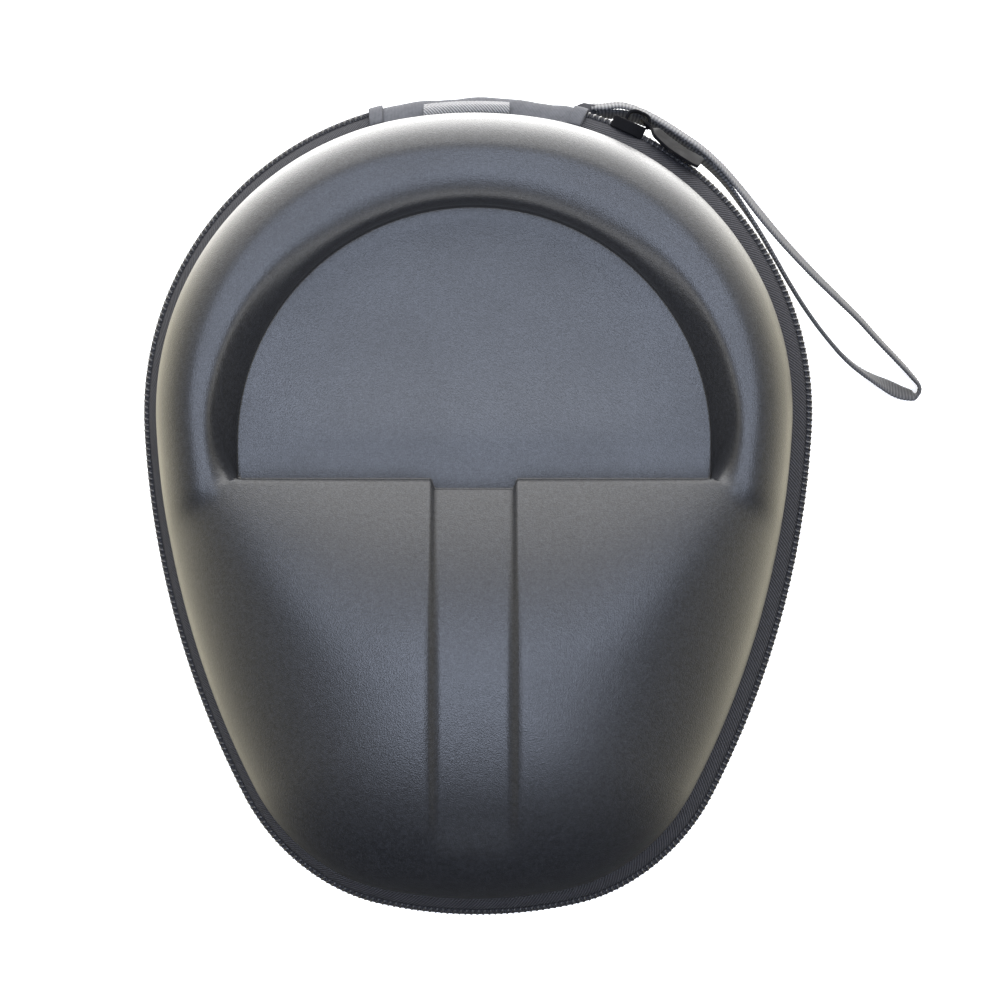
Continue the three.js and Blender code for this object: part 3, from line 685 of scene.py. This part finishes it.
# a ring's distance in from the outline where the arch is narrow, and its share of any further width
RING_BASE = refine([0, 0.15, 1, 3.5, 7.5, 12, 16, 19.5, 23, 25.3, NARROW], RING_COUNTS)
RING_SHARE = refine([0, 0.001, 0.01, 0.04, 0.11, 0.24, 0.44, 0.7, 1, 1, 1], RING_COUNTS)
PANEL_SHARES = (0.006, 0.02, 0.05, 0.1, 0.2, 0.4, 0.7)
BACK_RINGS = refine([0, 0.15, 1, 3.5, 7.5, 12.5, BACK_ROUND], [2, 4, 4, 5, 5, 5])
BACK_PANEL_GROWS = -8.0
# the back's recess: how far out from its floor's edge, and how deep
RECESS_EDGE = ((4.6, 0), (3, 0), (2.4, 0.25), (1.6, 1.2), (0.9, 2.5), (0, BACK_RECESS), (-1.5, BACK_RECESS))
RIM_BLEND = 6.0  # height over the rim in which an inner surface drops to its full inset
PANEL_CENTRE = np.array([0.0, PANEL_Y + 20])


def front_surface(inset):
    """Rows of points from the rim to the panel's middle, inset from the outer face."""
    o, c = shell_outline(LOOP, 0) - [SHELL_X, 0], panel_outline(LOOP, 0)
    oi, ci = shell_outline(LOOP, inset) - [SHELL_X, 0], panel_outline(LOOP, inset)
    length = np.hypot(*(o - c).T)
    rows = []
    for base, share in zip(RING_BASE, RING_SHARE):
        u = np.minimum(1, (base + share * (length - NARROW)) / length)[:, None]
        at = o + (c - o) * u
        h = front_height(at[:, 0], at[:, 1]) if base > 0 else np.full(len(LOOP), RIM_H)
        moved = oi + (ci - oi) * u
        drop = inset * clamp01((h - RIM_H) / RIM_BLEND)
        rows.append(np.column_stack([moved[:, 0] + SHELL_X, moved[:, 1], MID_Z + h - drop]))
    foot = PANEL_H - inset - 0.4
    arch_side = smoothstep((CORNER_ANGLE - np.abs(LOOP)) / 8)
    for share in PANEL_SHARES:
        at = ci + (PANEL_CENTRE - ci) * share
        fillet = 0.3 * arch_side * (1 - smoothstep(share / 0.06))
        rows.append(np.column_stack([at[:, 0] + SHELL_X, at[:, 1], MID_Z + foot + fillet]))
    return rows, (PANEL_CENTRE[0] + SHELL_X, PANEL_CENTRE[1], MID_Z + foot)


def back_surface(inset):
    """Rows of points from the rim to the recess's middle, inset from the outer face."""
    rows = []
    for d in BACK_RINGS:
        o = shell_outline(LOOP, d)
        h = back_height(o[:, 0] - SHELL_X, o[:, 1]) if d > 0 else np.full(len(LOOP), RIM_H)
        p = shell_outline(LOOP, inset + d * (1 - inset / 40))
        rows.append(np.column_stack([p, MID_Z - h + inset * clamp01((h - RIM_H) / RIM_BLEND)]))
    floor = MID_Z - BACK_H + inset
    for grow, recess in RECESS_EDGE:
        c = panel_outline(LOOP, BACK_PANEL_GROWS + grow + inset, 0)
        rows.append(np.column_stack([c[:, 0] + SHELL_X, c[:, 1], np.full(len(LOOP), floor + recess)]))
    for share in (0.1, 0.4, 0.7):
        at = c + (PANEL_CENTRE - c) * share
        rows.append(np.column_stack([at[:, 0] + SHELL_X, at[:, 1], np.full(len(LOOP), floor + BACK_RECESS)]))
    return rows, (PANEL_CENTRE[0] + SHELL_X, PANEL_CENTRE[1], floor + BACK_RECESS)


def skin_between(name, outer, inner, material):
    """Closed skin between two surfaces that share their columns."""
    columns = len(LOOP)
    points, faces = [], []
    starts = []
    for rows, centre in (outer, inner):
        starts.append(len(points))
        points.extend(np.concatenate(rows).tolist())
        points.append(centre)
        start = starts[-1]
        for r in range(len(rows)):
            for c in range(columns):
                n = (c + 1) % columns
                a, b = start + r * columns + c, start + r * columns + n
                if r < len(rows) - 1:
                    faces.append((a, b, b + columns, a + columns))
                else:
                    faces.append((a, b, start + len(rows) * columns))
    for c in range(columns):
        n = (c + 1) % columns
        faces.append((starts[0] + c, starts[0] + n, starts[1] + n, starts[1] + c))
    return add_mesh(name, points, faces, None, material)


def make_half(side, surface, body):
    """One half's shell and its lining."""
    skin = skin_between(f"{side}_shell_skin", surface(0), surface(SHELL_T), LEATHER)
    finish_piece(skin, body, "shell_leather", f"{side}_shell")
    start = SHELL_T + GAP
    knit = skin_between(f"{side}_lining_knit", surface(start), surface(start + LINING_T), LINING)
    finish_piece(knit, body, "lining_cloth", f"{side}_lining")


make_half("front", front_surface, "lid")
make_half("rear", back_surface, "base")


# ---- zip ring: tapes, bindings, coils ----
ZIP_FROM, ZIP_TO = HINGE_TO - 0.1, 360 + HINGE_FROM + 0.1  # just under the folded tabs
TAPE_LOW, TAPE_D = 2.3, 1.6  # the tape's edge at the coil: over the zip plane, and in from the zip line
COIL_R, WIRE_R = 1.25, 0.4
CORE_AT, CORE_R = 1.35, 1.2


def signed(angles):
    """Angles from -180 to 180."""
    angles = np.asarray(angles)
    return np.where(angles > 180, angles - 360, angles)


def ring_points(angles, section):
    """Sections round the ring; a corner is (share towards the shell edge, further inward, height)."""
    angles = signed(angles)
    out = []
    for share, d, h in section:
        zip_at, shell_at = outline(angles, d), shell_outline(angles, d)
        at = zip_at + (shell_at - zip_at) * share
        out.append(np.column_stack([at, np.full(len(at), MID_Z + h)]))
    return np.stack(out, axis=1)


def ring_run(angles):
    """Distance along the zip line to each angle."""
    at = outline(signed(angles), 0)
    return np.concatenate([[0], np.cumsum(np.hypot(*np.diff(at, axis=0).T))])


def make_tape(name, sign, body, node):
    """Woven tape from the coil up to the shell's rim, bowed a little outward."""
    top, bow = RIM_H - 0.35, 0.35
    line = []
    for f in np.linspace(0, 1, 9):
        d = TAPE_D - (TAPE_D + 0.05) * f - bow * math.sin(math.pi * f)
        line.append((f, d, TAPE_LOW + (top - TAPE_LOW) * f**0.9))
    line += [(s, d + 0.8, h - 0.1 * np.sign(h)) for s, d, h in reversed(line)]
    section = [(s, d, h * sign) for s, d, h in line]
    angles = np.linspace(ZIP_FROM, ZIP_TO, 420)
    tape = loft(name, ring_points(angles, section), uv_run=ring_run(angles), material=TAPE)
    finish_piece(tape, body, "zip_tape", node)


def make_binding(name, sign, body, node):
    """Cloth binding inside a shell's rim, all the way round; its section is (further inward, height)."""
    line = [(2.4, 6.6), (3.4, 6.6), (4.4, 6.5), (4.9, 6.3), (5.0, 6.0)]
    line += [(4.9, 5.7), (4.4, 5.5), (3.4, 5.45), (2.4, 5.5)]
    steps = 400
    angles = np.linspace(0, 360, steps, endpoint=False)
    section = [(1, d, h * sign) for d, h in line]
    run = np.linspace(0, ring_run(np.linspace(0, 360, steps))[-1], steps)
    piece = loft(name, ring_points(angles, section), closed_run=True, uv_run=run, material=BINDING)
    finish_piece(piece, body, "binding", node)


def make_coil(name, sign, body, node):
    """One nylon filament wound round a cord along the zip line, half a turn out of step with its mate."""
    fine = np.linspace(ZIP_FROM, ZIP_TO, 4000)
    run = ring_run(fine)
    turns = int(run[-1] / COIL_PITCH)
    s = np.linspace(0, turns * COIL_PITCH, turns * 14 + 1)
    angles = np.interp(s, run, fine)
    phase = 2 * np.pi * s / COIL_PITCH + (0 if sign > 0 else np.pi)
    d = COIL_R + 0.95 * np.cos(phase)
    h = COIL_R + COIL_R * np.sin(phase)
    cx = outline(signed(angles), 0)
    inward = outline(signed(angles), 1) - cx
    line = np.column_stack([cx + inward * d[:, None], MID_Z + sign * h])
    tangent = np.gradient(line, axis=0)
    tangent /= np.linalg.norm(tangent, axis=1)[:, None]
    along = np.gradient(np.column_stack([cx, np.zeros(len(cx))]), axis=0)
    side = np.cross(tangent, along)
    side /= np.linalg.norm(side, axis=1)[:, None]
    other = np.cross(tangent, side)
    spin = np.linspace(0, 2 * np.pi, 6, endpoint=False)
    rings = [line + WIRE_R * (math.cos(t) * side + math.sin(t) * other) for t in spin]
    coil = loft(name, np.stack(rings, axis=1), material=COIL)
    finish_piece(coil, body, "zip_coil", node)
    turn = np.linspace(0, 2 * np.pi, 12, endpoint=False)
    cord = [(0, CORE_AT + CORE_R * math.cos(t), sign * (CORE_AT + 1.15 * math.sin(t))) for t in turn]
    path = np.linspace(ZIP_FROM, ZIP_TO, 420)
    core = loft(name + "_core", ring_points(path, cord), uv_run=ring_run(path), material=BINDING)
    finish_piece(core, body, "zip_tape")


for half, way, rides_on in (("front", 1, "lid"), ("rear", -1, "base")):
    make_tape(f"{half}_tape_twill", way, rides_on, f"{half}_zip_tape")
    make_binding(f"{half}_binding_tape", way, rides_on, f"{half}_rim_binding")
    make_coil(f"{half}_coil_filament", way, rides_on, f"{half}_zip_coil")


# ---- hinge cloth and its folded end tabs ----
def hinge_section(inset, thick):
    """Cloth from rim to rim, inset from the zip line at its middle and drawn in to the shells."""
    top = RIM_H - 0.4
    line = [(f * f, inset, f * top) for f in np.linspace(1, -1, 25)]
    return line + [(s, d + thick, h) for s, d, h in reversed(line)]


def blend_hinge(piece, node):
    """Bake the piece's placement into its mesh and hide the CAD node that it stands for."""
    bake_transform(piece)
    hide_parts(node)


def wavy(angles, sections, amount):
    """Shallow fullness along the hinge cloth, outward from the case."""
    turn = np.radians(signed(angles % 360))
    lift = amount * (np.sin(turn * 31 + 0.6) + 0.6 * np.sin(turn * 55 + 2.0))
    high = 1 - ((sections[..., 2] - MID_Z) / RIM_H) ** 2
    sections[..., 1] += np.clip(lift, -0.25, 1)[:, None] * np.clip(high, 0, 1)
    return sections


def make_hinge():
    angles = np.linspace(HINGE_FROM, HINGE_TO, 90)
    sections = wavy(angles, ring_points(angles % 360, hinge_section(0, 0.8)), 0.25)
    cloth = loft("hinge_cloth_cover", sections, material=HINGE)
    blend_hinge(cloth, "hinge_cloth")
    inner = loft("hinge_inner_cover", ring_points(angles % 360, hinge_section(1.5, 0.6)), material=LINING)
    blend_hinge(inner, "hinge_inner_cloth")
    swell = np.array([0, 0.35, 0.5, 0.5, 0.5, 0.5, 0.5, 0.35, 0])
    for name, start in (("left", HINGE_FROM), ("right", HINGE_TO - TAB_ANGLE)):
        turn = np.linspace(start, start + TAB_ANGLE, len(swell))
        tab = ring_points(turn % 360, hinge_section(-1.1, 0.8))
        centre = tab.mean(axis=1, keepdims=True)
        tab = centre + (tab - centre) * (0.985 + 0.03 * swell)[:, None, None]
        piece = loft(f"zip_end_tab_{name}_fold", tab, material=HINGE)
        blend_hinge(piece, f"zip_end_tab_{name}")


make_hinge()


# ---- folded webbing tab in the front seam: its section is (inward from the zip line, height) ----
WEBBING_ROOT = 5.2  # height at which it leaves the seam
RIB_WAVE = 1.19
WEBBING_SINK = 0.85  # its top lies this much nearer the shell than its root
WEBBING_OUTER = [(5.3, 6.9), (5.2, 9.0), (4.5, 9.8), (2.8, 9.5), (1.9, 8.6), (1.5, 7.2), (1.5, WEBBING_ROOT)]
WEBBING_INNER = [(2.4, WEBBING_ROOT), (2.4, 7.0), (2.7, 8.1), (3.2, 8.6), (4.1, 8.8), (4.3, 8.5), (4.4, 6.9)]


def smooth_line(points, count):
    line, _ = catmull([(a, b, 0) for a, b in points], 0.1)
    return line[np.linspace(0, len(line) - 1, count).astype(int)][:, :2]


def make_webbing():
    section = np.vstack([smooth_line(WEBBING_OUTER, 26), smooth_line(WEBBING_INNER, 26)])
    centre = section.mean(axis=0)
    runs = []
    for x in np.linspace(*WEBBING_X, 211):
        ripple = 0.012 * math.cos(2 * math.pi * (x - WEBBING_X[0]) / RIB_WAVE)
        y = outline(math.degrees(math.asin(x / RADII[0])), 0)[1]
        inward, height = (section + (section - centre) * ripple).T
        slope = 0.5 * (x - WEBBING_X[0]) / 25 - 0.2
        grow = clamp01((height - 6.9) / 2) * slope
        sink = WEBBING_SINK * smoothstep((height - WEBBING_ROOT) / 3)
        across = y - inward - sink + 0.6 * grow
        runs.append(np.column_stack([np.full(len(section), x), across, MID_Z + height + grow]))
    tab = loft("webbing_tab_ribbed", np.array(runs), material=WEBBING)
    finish_piece(tab, "lid", "webbing", "webbing_loop")


make_webbing()


# ---- slider and puller ----
SHOULDER = ARCS[1]
SLIDER_LENGTH, SLIDER_HALF = 5.0, 4.6  # half its length and half its width
PLATE_OUT = (0.8, 1.8)
BRIDGE = [(-1.6, 1.6), (-1.3, 4.1), (-0.2, 5.2), (2.0, 5.5), (4.2, 5.15), (5.15, 3.9), (5.2, 1.6)]
PIVOT = (3.1, 3.8)  # the puller's eye, along and outward from the slider's middle
PULLER_REACH, PULLER_HALF, PULLER_LEAN = 21.3, 0.5, 13.4  # length, half-thickness and degrees from the zip
PULLER_ROLL, PULLER_LIFT, PULLER_BOW = 27, 2.6, 1.1  # past the eye it rolls, rises and bows in
PULLER_AT = [-0.6, 0, 3.8, 5.5, 11, PULLER_REACH - 0.8, PULLER_REACH]
PULLER_WIDTHS = [1.9, 2.4, 2.5, 3.3, 4.0, 4.2, 3.7]  # half-widths there
EYE_FROM, EYE_TO, EYE_HALF = 0.6, 3.7, 1.95
CAST_VOXEL = 0.16


def on_zip(points):
    """From the slider's frame (along, outward, up) to the part's frame."""
    along, outward, up = np.asarray(points, float).T
    turn = -math.radians(SLIDER_ANGLE)
    outward = outward + SHOULDER[2]
    x = SHOULDER[0] + along * math.cos(turn) - outward * math.sin(turn)
    y = SHOULDER[1] + along * math.sin(turn) + outward * math.cos(turn)
    return np.column_stack([x, y, up + MID_Z])


def bevel_box(bm, x, y, z, radius):
    made = bmesh.ops.create_cube(bm, size=1)
    for v in made["verts"]:
        for k, (low, high) in enumerate((x, y, z)):
            v.co[k] = (low + high) / 2 + v.co[k] * (high - low)
    edges = list({e for v in made["verts"] for e in v.link_edges})
    bmesh.ops.bevel(bm, geom=edges, offset=radius, segments=3, affect="EDGES", profile=0.5)


def object_from(name, bm):
    mesh = bpy.data.meshes.new(name)
    bm.to_mesh(mesh)
    bm.free()
    return add_object(name, mesh)


def move_points(obj, place):
    """Each point of the mesh goes where place() puts it."""
    vertices = obj.data.vertices
    points = np.empty(len(vertices) * 3)
    vertices.foreach_get("co", points)
    vertices.foreach_set("co", place(points.reshape(-1, 3)).ravel())


def fuse(obj, voxel, smooth_steps):
    """Join overlapping boxes into one cast body and soften it; voxel is in the mesh's own unit."""
    modifier = obj.modifiers.new("cast", "REMESH")
    modifier.mode = "VOXEL"
    modifier.voxel_size = voxel
    modifier.use_smooth_shade = True
    soft = obj.modifiers.new("soften", "SMOOTH")
    soft.iterations = smooth_steps
    soft.factor = 0.5
    mesh = bpy.data.meshes.new_from_object(obj.evaluated_get(bpy.context.evaluated_depsgraph_get()))
    obj.modifiers.clear()
    obj.data = mesh
    mesh.materials.clear()
    mesh.materials.append(METAL)


def shape_slider(points):
    """All but the bridge narrows to its ends and droops at its sides."""
    plate = 1 - smoothstep((points[:, 1] - 2.0) / 1.0)
    points[:, 2] *= 1 - 0.28 * plate * (np.abs(points[:, 0]) / SLIDER_LENGTH) ** 2
    points[:, 1] -= 0.3 * plate * (np.abs(points[:, 2]) / SLIDER_HALF) ** 2
    return on_zip(points) * MM


def make_slider():
    """Outer plate with two flanges, an inner plate on a post, and a bridge for the puller's eye."""
    bm = bmesh.new()
    ends, flange_in = (-SLIDER_LENGTH, SLIDER_LENGTH), 3.7
    bevel_box(bm, ends, PLATE_OUT, (-SLIDER_HALF, SLIDER_HALF), 0.4)
    for flange in ((-SLIDER_HALF, -flange_in), (flange_in, SLIDER_HALF)):
        bevel_box(bm, ends, (-1.9, PLATE_OUT[1]), flange, 0.35)
    bevel_box(bm, (-4.2, 2.4), (-5.8, -4.7), (-1.6, 1.6), 0.3)
    bevel_box(bm, (-2, 1), (-4.9, PLATE_OUT[0] + 0.1), (-0.3, 0.3), 0.1)
    line, _ = catmull([(x, y, 0) for x, y in BRIDGE], 0.3)
    for a, b in zip(line[:-2:2], line[2::2]):
        x, y, _ = (a + b) / 2
        bevel_box(bm, (x - 0.5, x + 0.5), (y - 0.42, y + 0.42), (-1.7, 1.7), 0.2)
    obj = object_from("slider_casting", bm)
    fuse(obj, CAST_VOXEL, 4)
    move_points(obj, shape_slider)
    finish_piece(obj, "slider", "slider_metal", "zip_slider")


def shape_puller(points):
    along, thick, wide = points.T
    run = smoothstep((along - 2.7) / 2.8)
    roll = np.radians(PULLER_ROLL) * run
    bow = PULLER_BOW * np.sin(np.pi * clamp01(along / PULLER_REACH))
    outward = thick * np.cos(roll) - wide * np.sin(roll) - bow
    up = wide * np.cos(roll) + thick * np.sin(roll) + PULLER_LIFT * run
    turn = -math.radians(PULLER_LEAN)
    x = along * math.cos(turn) - outward * math.sin(turn) + PIVOT[0]
    y = along * math.sin(turn) + outward * math.cos(turn) + PIVOT[1]
    return on_zip(np.column_stack([x, y, up])) * MM


def make_puller():
    """Flat plate with an eye at the pivot; it lies along the zip, its upper edge tipped in over the coil."""
    steps = np.linspace(PULLER_AT[0], PULLER_REACH, 70)
    bm = bmesh.new()
    for a, b in zip(steps[:-1], steps[1:]):
        middle = (a + b) / 2
        w = float(np.interp(middle, PULLER_AT, PULLER_WIDTHS))
        at_eye = EYE_FROM < middle < EYE_TO
        for low, high in [(-w, -EYE_HALF), (EYE_HALF, w)] if at_eye else [(-w, w)]:
            for v in bmesh.ops.create_cube(bm, size=1)["verts"]:
                v.co.x = (a - 0.05) if v.co.x < 0 else (b + 0.05)
                v.co.y *= 2 * PULLER_HALF
                v.co.z = low if v.co.z < 0 else high
    obj = object_from("puller_plate", bm)
    move_points(obj, shape_puller)
    fuse(obj, CAST_VOXEL * MM, 3)
    finish_piece(obj, "puller", "slider_metal", "zip_puller")


make_slider()
make_puller()


# ---- fold of cloth that holds the strap's ends ----
ANCHOR_PLAN = np.array([
    (26.5, 112.2), (30, 111.9), (34.6, 112.4), (35.3, 115.5), (34.9, 119.0), (31.4, 119.7), (29.5, 119),
    (27.6, 117.4), (26.5, 115.6), (26.3, 113.8),
])
ANCHOR_MIDDLE = np.array([30, 115.6])


def make_anchor():
    sections = []
    for f in np.linspace(-1, 1, 12):
        ring = ANCHOR_MIDDLE + (ANCHOR_PLAN - ANCHOR_MIDDLE) * (1 - 0.12 * abs(f) ** 6)
        low, high = STRAP_HIGH - STRAP_LIFT - 4.4, STRAP_HIGH + 3.6
        sections.append(np.column_stack([ring, np.full(len(ring), low + (high - low) * (f + 1) / 2)]))
    anchor = loft("strap_anchor_fold", np.array(sections), material=FOLD)
    finish_piece(anchor, "base", "hinge_cloth", "strap_anchor")


make_anchor()

# ---- pocket in the lid, over the sunk panel's lining ----
POCKET_R = 64.0
POCKET_Y = STEP_Y + 12
POCKET_Z = MID_Z + PANEL_H - SHELL_T - GAP - LINING_T - 0.4
NET_R = POCKET_R - 3.3
GATHER, GATHER_PITCH = 0.12, 2.6


def pocket_arc(radius, count):
    half = math.sqrt(radius**2 - (POCKET_Y - PANEL_Y) ** 2)
    start = math.atan2(POCKET_Y - PANEL_Y, half)
    a = np.linspace(start, math.pi - start, count)
    return np.column_stack([SHELL_X + radius * np.cos(a), PANEL_Y + radius * np.sin(a)])


def eased_strip(start, end, ease, heights):
    """Section of a flat tape: ease is a share of its width, and heights are its top, edges and bottom."""
    top, upper, lower, bottom = heights
    near, far = start + (end - start) * ease, end + (start - end) * ease
    return [(start, upper), (near, top), (far, top), (end, upper),
            (end, lower), (far, bottom), (near, bottom), (start, lower)]


def make_net():
    columns, rows = 81, 26
    arc = pocket_arc(NET_R, columns)
    chord = np.column_stack([np.linspace(arc[0][0], arc[-1][0], columns), np.full(columns, POCKET_Y)])
    points, uv = [], []
    for f in np.linspace(0, 1, rows):
        at = chord + (arc - chord) * f
        height = POCKET_Z - 1.3 - 0.35 * math.sin(math.pi * f)
        points.extend(np.column_stack([at, np.full(columns, height)]).tolist())
        uv.extend(at.tolist())
    corners = [r * columns + c for r in range(rows - 1) for c in range(columns - 1)]
    faces = [(a, a + 1, a + columns + 1, a + columns) for a in corners]
    net = add_mesh("pocket_net_sheet", points, faces, uv, NET)
    finish_piece(net, "lid", "pocket_mesh", "mesh_pocket")


def make_pocket_binding():
    sections = []
    for outer, inner in zip(pocket_arc(POCKET_R + 1.5, 90), pocket_arc(POCKET_R - 3, 90)):
        section = eased_strip(outer, inner, 0.1, (-0.4, -0.6, -1.7, -2.0))
        sections.append([(at[0], at[1], POCKET_Z + h) for at, h in section])
    binding = loft("pocket_binding_tape", np.array(sections), material=BINDING)
    finish_piece(binding, "lid", "binding", "pocket_binding")


def make_pocket_elastic():
    """Band along the pocket's mouth, its underside rippled where the elastic gathers it."""
    half = math.sqrt((POCKET_R - 1) ** 2 - (POCKET_Y - PANEL_Y - 4) ** 2)
    low, high = POCKET_Y - 8, POCKET_Y - 0.3
    section = eased_strip(high, low, 0.3 / (high - low), (-0.6, -0.8, -1.8, -2.0))
    sections = []
    for x in np.linspace(SHELL_X - half, SHELL_X + half, 241):
        gather = GATHER * math.sin(2 * math.pi * x / GATHER_PITCH)
        sections.append([(x, y, POCKET_Z + h + (gather if h < -1 else 0)) for y, h in section])
    band = loft("pocket_elastic_band", np.array(sections), material=ELASTIC)
    finish_piece(band, "lid", "elastic", "pocket_elastic")


make_net()
make_pocket_binding()
make_pocket_elastic()


# ---- floor, backdrop and light ----
def make_stage():
    """Pale floor that glows a little, so that it stays even, and isn't mirrored in the case's gloss."""
    half = 8.0
    corners = [(-half, -half, 0), (half, -half, 0), (half, half, 0), (-half, half, 0)]
    mesh = bpy.data.meshes.new("floor")
    mesh.from_pydata(corners, [], [(0, 1, 2, 3)])
    floor = add_object("floor", mesh)
    material = new_material("pale_floor", (0.86, 0.86, 0.86), 0.9, 0.1)
    shader = material.node_tree.nodes["Principled BSDF"]
    shader.inputs["Emission Color"].default_value = (1, 1, 1, 1)
    shader.inputs["Emission Strength"].default_value = 0.62
    mesh.materials.append(material)
    floor.visible_glossy = False
    floor.visible_shadow = False


def make_world():
    """Soft surroundings: bluish overhead, bright past the hinge end, warm at the sides, dark at the foot."""
    world = bpy.data.worlds.new("surroundings")
    bpy.context.scene.world = world
    world.use_nodes = True
    world.node_tree.nodes.clear()
    n = Nodes(world)
    x, y, z = n.axes("Generated")

    def glow(*shares):
        """Strength where all the shares overlap; each is (value, low, high, strength at low, at high)."""
        strength = n.span(*shares[0], smooth=True)
        for share in shares[1:]:
            strength = n.times(strength, n.span(*share, smooth=True))
        return strength

    x_squared = n.times(x, x)
    flat = n.math("MAXIMUM", n.math("SQRT", n.plus(x_squared, n.times(y, y))), 0.02)
    north = n.math("DIVIDE", y, flat)
    sideways = n.math("DIVIDE", n.math("ABSOLUTE", x), flat)
    y_moved = n.plus(y, 0.05)
    oval = n.plus(n.times(x_squared, 0.8), n.times(y_moved, y_moved))
    overhead = glow((n.math("SQRT", oval), 0.1, 0.43, 7.7, 0.0), (z, 0.0, 0.3))
    far_end = glow((north, 0.35, 0.97), (z, 0.62, 0.98, 1.0, 0.0), (z, -0.5, 0.3, 7.2, 4.9))
    low_down = (z, 0.45, 0.75, 1.0, 0.0), (z, -0.3, 0.15, 1.7, 0.8)
    sides = glow((sideways, 0.6, 0.95), *low_down, (north, -0.75, -0.3, 0.1, 1.0))
    lights = [
        (overhead, (0.84, 0.95, 1.2)),
        (far_end, (1.0, 0.99, 0.97)),
        (sides, (1.08, 1.0, 0.76)),
        (glow((z, 0.15, 0.9, 0.06, 0.46)), (0.95, 0.98, 1.03)),
    ]
    total = None
    for strength, color in lights:
        light = n.add("ShaderNodeBackground", Color=(*color, 1), Strength=strength).outputs[0]
        if total is None:
            total = light
            continue
        both = n.add("ShaderNodeAddShader")
        n.fill(both.inputs[0], total)
        n.fill(both.inputs[1], light)
        total = both.outputs[0]
    n.add("ShaderNodeOutputWorld", Surface=total)


def make_card():
    """Soft card over the straight edge, lighting one side only: it lifts the arch's inner slope."""
    data = bpy.data.lights.new("arch_card", "AREA")
    data.shape = "RECTANGLE"
    data.size, data.size_y = 0.1, 0.055
    data.energy = 0.05
    card = add_object("arch_card", data)
    card.location = (SHELL_X * MM, 0.018, 0.126)
    card.rotation_euler = (math.radians(90), 0, 0)
    card.visible_camera = False


make_stage()
make_world()
make_card()
bpy.context.scene.view_settings.view_transform = "Standard"
